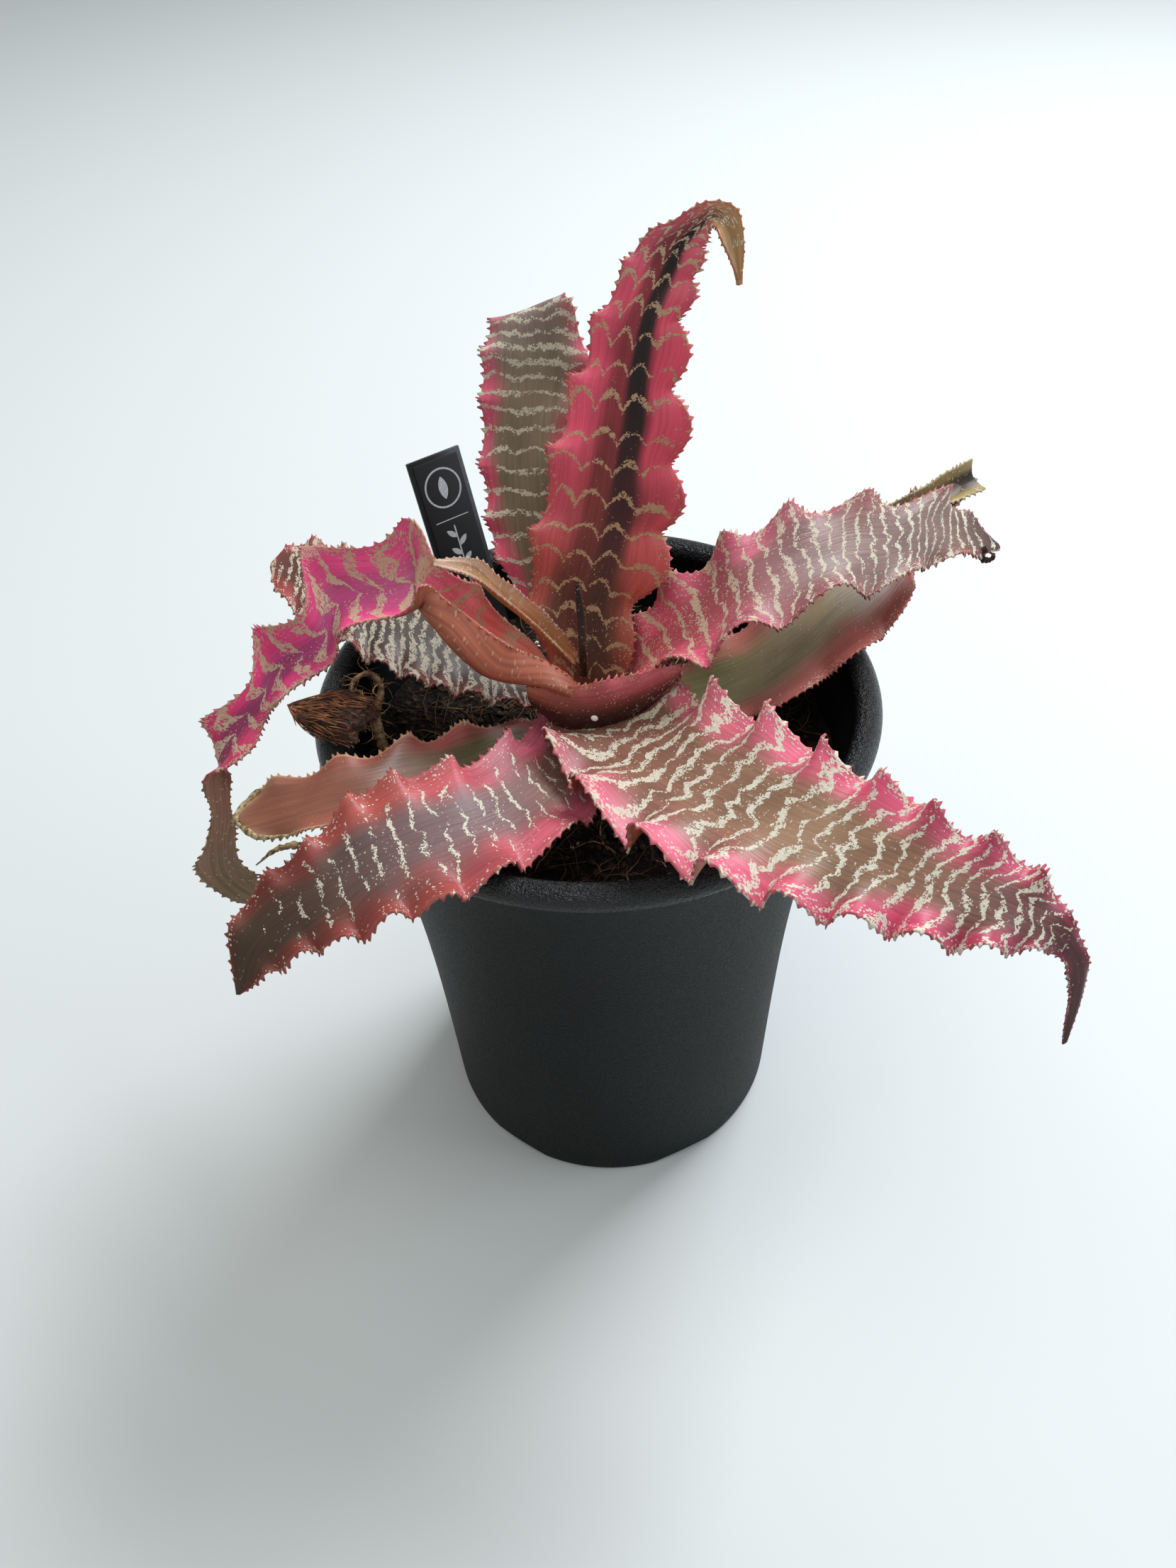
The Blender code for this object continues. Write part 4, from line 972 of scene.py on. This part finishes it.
def make_dead_root():
    """A dry root that stands up from the mix and loops back, with hair roots on it."""
    pick = random.Random(3)
    curve = new_bundle("dry_root", sides=10)
    count = 60
    where = np.linspace(0, 1, count)
    line = along_curve(DEAD_ROOT, where)
    widths = along_curve(DEAD_ROOT_WIDTHS, where)[:, 0] * [0.8 + 0.3 * pick.random() for _ in range(count)]
    add_strand(curve, [from_rim(p) for p in line], widths * MM)
    root = new_object("dry_root", curve, fibre("dry_root_bark", "#6A4C34", "#B8946C", 1.5))
    stand_for(root, "root", "dead_root")
    hairs = new_bundle("dry_root_hairs")
    for _ in range(HAIR_ROOTS):
        start = Vector(line[pick.randrange(count)])
        heading = Vector([pick.uniform(-1, 1) for _ in range(3)]).normalized()
        aside = heading.cross(Vector((0, 0, 1))) * pick.uniform(-3, 3)
        length = pick.uniform(2, 8)
        route = [start + heading * length * s + aside * math.sin(3 * s) + Vector((0, 0, -2 * s * s))
                 for s in (0, 0.2, 0.4, 0.6, 0.8, 1)]
        add_strand(hairs, [from_rim(p) for p in route], [w * MM for w in (0.5, 0.42, 0.35, 0.3, 0.22, 0.1)])
    add_piece(new_object("dry_root_hairs", hairs, bpy.data.materials["dry_root_bark"]))


def make_dead_edges():
    """The dead bits of living leaves: a crisp rolled rim, a split strip and a small black curl."""
    pick = random.Random(9)
    low = LEAVES["leaf_low_left"]
    curl = [(105 + 1.5 * math.cos(turn), 35 - 0.3 * turn, 8.2 + 1.5 * math.sin(turn))
            for turn in np.linspace(1.8, 6.6, 8)]
    for name, slot, places, widths, dark, light in (
            ("leaf_low_left_dry_rim", "leaf_low_left", low["right"][-3:] + low["left"][:-4:-1],
             [0.5, 1.2, 1.7, 2.0, 1.7, 1.3, 0.5], "#5A3C22", "#CDB88A"),
            ("leaf_front_left_split", "leaf_front_left",
             [(-64, -52, 1), (-68, -52, 2.2), (-72, -53, 1.5), (-76, -54, -1.5)], [2.0, 1.6, 1.1, 0.3],
             "#3A2818", "#A08458"),
            ("leaf_right_tip_curl", "leaf_right", curl, [2.0, 1.9, 1.5, 1.0], "#17100C", "#4A3020")):
        where = np.linspace(0, 1, 28)
        curve = new_bundle(name, sides=8)
        thick = along_curve(widths, where)[:, 0] * [pick.uniform(0.75, 1.2) * MM for _ in where]
        route = [from_rim(place + 0.25 * np.array(noise.noise_vector(Vector(place) * 0.9)))
                 for place in along_curve(places, where)]
        add_strand(curve, route, thick)
        add_piece(new_object(name, curve, fibre(name, dark, light, 1.2)))


# ---------------------------------------------------------------- label

LABEL_WIDTH = 15.9
LABEL_LENGTH = 120
LABEL_THICKNESS = 1.0
LABEL_POINT = 18
LABEL_TOP = (-40, 59, 32)
LABEL_FOOT = (-18, 29, -82)
LABEL_ACROSS = (0.84, 0.54, 0.017)
STICKER_MARGIN = 1.3
STICKER_LENGTH = 46
STICKER_THICKNESS = 0.3


def label_frame():
    """Label axes: across, towards the back and up along the stake; origin at the middle of its top. In mm."""
    up = (Vector(LABEL_TOP) - Vector(LABEL_FOOT)).normalized()
    sideways = Vector(LABEL_ACROSS)
    sideways = (sideways - up * sideways.dot(up)).normalized()
    turn = Matrix((sideways, up.cross(sideways), up)).transposed().to_4x4()
    return Matrix.Translation(from_rim(LABEL_TOP)) @ turn @ Matrix.Scale(MM, 4)


def plate(outline, thickness, middle, bevel):
    """A flat plate with an outline of (across, up) points, lying across the frame's second axis."""
    bm = bmesh.new()
    face = bm.faces.new([bm.verts.new((x, middle - thickness / 2, z)) for x, z in outline])
    pulled = bmesh.ops.extrude_face_region(bm, geom=[face])
    moved = [item for item in pulled["geom"] if isinstance(item, bmesh.types.BMVert)]
    bmesh.ops.translate(bm, verts=moved, vec=(0, thickness, 0))
    bmesh.ops.bevel(bm, geom=bm.edges[:], offset=bevel, segments=3, profile=0.5, affect="EDGES", material=-1)
    return bm


def make_label():
    place = label_frame()
    half = LABEL_WIDTH / 2
    shoulder = LABEL_POINT - LABEL_LENGTH
    stake = plate([(-half, 0), (-half, shoulder), (0, -LABEL_LENGTH), (half, shoulder), (half, 0)],
                  LABEL_THICKNESS, 0, 0.25)
    bmesh.ops.transform(stake, matrix=place, verts=stake.verts)
    stake = object_from(stake, "label_stake_plate", label_plastic(), smooth_angle=30)
    stand_for(stake, "label", "label_stake")
    half -= STICKER_MARGIN
    in_front = -(LABEL_THICKNESS + STICKER_THICKNESS) / 2 - 0.05
    sticker = plate([(-half, -STICKER_MARGIN), (-half, -STICKER_LENGTH), (half, -STICKER_LENGTH),
                     (half, -STICKER_MARGIN)], STICKER_THICKNESS, in_front, 0.1)
    bmesh.ops.transform(sticker, matrix=place, verts=sticker.verts)
    sticker = object_from(sticker, "label_paper", label_paper(), smooth_angle=30)
    stand_for(sticker, "sticker", "label_sticker")
    make_print(place, in_front - STICKER_THICKNESS / 2 - 0.02)


def make_print(place, front):
    """A made-up mark: a ring with a leaf in it, a rule, and a sprig where a plant's name would be."""
    ink = bmesh.new()
    ring_at = -9.0
    rims = [bmesh.ops.create_circle(ink, segments=72, radius=radius)["verts"] for radius in (4.9, 5.4)]
    edges = {edge for rim in rims for vert in rim for edge in vert.link_edges}
    bmesh.ops.bridge_loops(ink, edges=list(edges))
    add_blade(ink, (0, 0), 90, 6.2, 2.6)
    for height, size in ((-8.6, (10, 0.25, 1, 1)), (-22, (0.4, 23, 1, 1))):
        line = bmesh.ops.create_grid(ink, x_segments=1, y_segments=1, size=0.5)
        there = Matrix.Translation((0, height, 0)) @ Matrix.Diagonal(size)
        bmesh.ops.transform(ink, verts=line["verts"], matrix=there)
    for number in range(8):
        side = 1 if number % 2 else -1
        add_blade(ink, (side * 1.3, -12.6 - 2.5 * number), 90 - side * 48, 3.6, 1.5)
    stand_up = Matrix.Translation((0, front, ring_at)) @ Matrix.Rotation(math.pi / 2, 4, "X")
    bmesh.ops.transform(ink, matrix=place @ stand_up, verts=ink.verts)
    bmesh.ops.solidify(ink, geom=ink.faces[:], thickness=0.02 * MM)
    add_piece(object_from(ink, "label_print", label_ink(), smooth_angle=30))


def add_blade(bm, middle, turn, length, width):
    """A pointed leaf shape of two arcs, flat in x and y, that lies along the given angle in degrees."""
    made = bmesh.ops.create_circle(bm, segments=24, radius=1, cap_ends=True)
    for vert in made["verts"]:
        x = vert.co.x
        vert.co.y = math.copysign((1 - x * x) ** 0.9, vert.co.y) if abs(vert.co.y) > 1e-6 else 0
    place = Matrix.Translation((*middle, 0)) @ Matrix.Rotation(math.radians(turn), 4, "Z")
    place = place @ Matrix.Diagonal((length / 2, width / 2, 1, 1))
    bmesh.ops.transform(bm, verts=made["verts"], matrix=place)


def label_plastic():
    """Polystyrene sheet, black, satin from the roller, with a few specks of dust."""
    made, tree, shader = new_material("polystyrene_sheet")
    place = add(tree, "TexCoord", output="Object")
    smear = add(tree, "TexNoise", {"Vector": place, "Scale": 1 / (9 * MM), "Detail": 3.0})
    rough = add(tree, "MapRange", (smear, 0.3, 0.7, 0.25, 0.45))
    dust = add(tree, "TexVoronoi", {"Vector": place, "Scale": 1 / (2.5 * MM)}, output="Distance")
    dust = add(tree, "MapRange", (dust, 0.07, 0.04, 0.0, 0.5))
    base = add(tree, "Mix", {"Factor": dust, 6: linear("#0C0D0F"), 7: linear("#8A8C8C")}, output=2,
               data_type="RGBA")
    wire(tree, shader, {"Base Color": base, "Roughness": rough, "IOR": 1.59})
    return made


def label_paper():
    """Thermal printed paper, black and matt, with a faint tooth."""
    return mottled("printed_label_paper", 0.4, "#0E0F11", "#17191B", 0.65, depth=0.04)


def label_ink():
    """Bare white of the paper that shows through the black print, a little worn."""
    return mottled("label_paper_white", 0.5, "#9A9DA0", "#E2E6E8", 0.7)


# ---------------------------------------------------------------- stage

LAMPS_AIM = Vector((0, 0, 0.12))


def make_stage():
    bpy.ops.mesh.primitive_plane_add(size=8)
    floor = bpy.context.object
    floor.name = "floor"
    made, tree, shader = new_material("pale_floor")
    wire(tree, shader, {"Base Color": linear("#D6D9D6"), "Roughness": 0.7})
    floor.data.materials.append(made)
    world = bpy.data.worlds.new("soft_daylight")
    bpy.context.scene.world = world
    world.use_nodes = True
    sky = world.node_tree.nodes["Background"]
    sky.inputs["Color"].default_value = linear("#E8F0F4")
    sky.inputs["Strength"].default_value = 0.42
    for name, place, size, power, colour in (
            ("sky_behind", (0.8, 0.9, 1.5), 0.8, 34, "#F2F7FF"),
            ("sky_above", (-0.4, -0.2, 1.9), 1.2, 9, "#FFFAF4"),
            ("sky_right", (1.3, -0.1, 0.7), 0.9, 7, "#E8F2FF")):
        lamp = bpy.data.lights.new(name, "AREA")
        lamp.size = size
        lamp.energy = power
        lamp.color = linear(colour)[:3]
        thing = bpy.data.objects.new(name, lamp)
        thing.location = place
        aim = LAMPS_AIM - Vector(place)
        thing.rotation_euler = aim.to_track_quat("-Z", "Y").to_euler()
        bpy.context.scene.collection.objects.link(thing)
    bpy.context.scene.view_settings.view_transform = "Standard"
    bpy.context.scene.view_settings.look = "None"


CAMERA_PLACE = Vector((-0.0034, -0.2259, 0.3388))
CAMERA_TARGET = Vector((-0.00342, 0.04153, 0.0759))
CAMERA_LEAN = math.radians(-3.08)
CAMERA_LENS = 27.02            # mm, on a sensor 36 mm high


def make_camera():
    """Stands in front, looks down at about 44 degrees, and leans a little to one side."""
    back = (CAMERA_PLACE - CAMERA_TARGET).normalized()
    right = Vector((0, 0, 1)).cross(back).normalized()
    up = back.cross(right)
    sideways = math.cos(CAMERA_LEAN) * right + math.sin(CAMERA_LEAN) * up
    upwards = math.cos(CAMERA_LEAN) * up - math.sin(CAMERA_LEAN) * right
    camera = bpy.data.cameras.new("camera")
    camera.sensor_fit = "VERTICAL"
    camera.sensor_height = 36
    camera.lens = CAMERA_LENS
    camera.clip_start = 0.01
    thing = bpy.data.objects.new("camera", camera)
    turn = Matrix((sideways, upwards, back)).transposed().to_4x4()
    thing.matrix_world = Matrix.Translation(CAMERA_PLACE) @ turn
    bpy.context.scene.collection.objects.link(thing)
    bpy.context.scene.camera = thing


def main():
    noise.seed_set(1)      # without a seed, noise_vector starts from the clock
    make_stage()
    make_camera()
    make_pot()
    make_soil()
    make_litter()
    make_perlite_bead()
    make_coir_chunk()
    make_dead_root()
    make_dead_edges()
    make_label()
    skins = (leaf_upper(), leaf_under())
    for seed, name in enumerate(LEAVES):
        make_leaf(name + "_blade", LEAVES[name], LOOKS[name], seed, skins, name, name)
    make_leaf("leaf_right_sheath", SHEATH, SHEATH_LOOK, 20, skins, "leaf_right")
    make_leaf("leaf_right_under_dry_end", DRY_ROLL, DRY_LOOK, 22, skins, "leaf_right_under")
    make_leaf("dried_sliver_blade", SLIVER, SLIVER_LOOK, 21, skins, "dried_leaf", "dried_sliver")
    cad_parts["stem"].data.materials.clear()
    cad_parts["stem"].data.materials.append(stem_skin())


main()
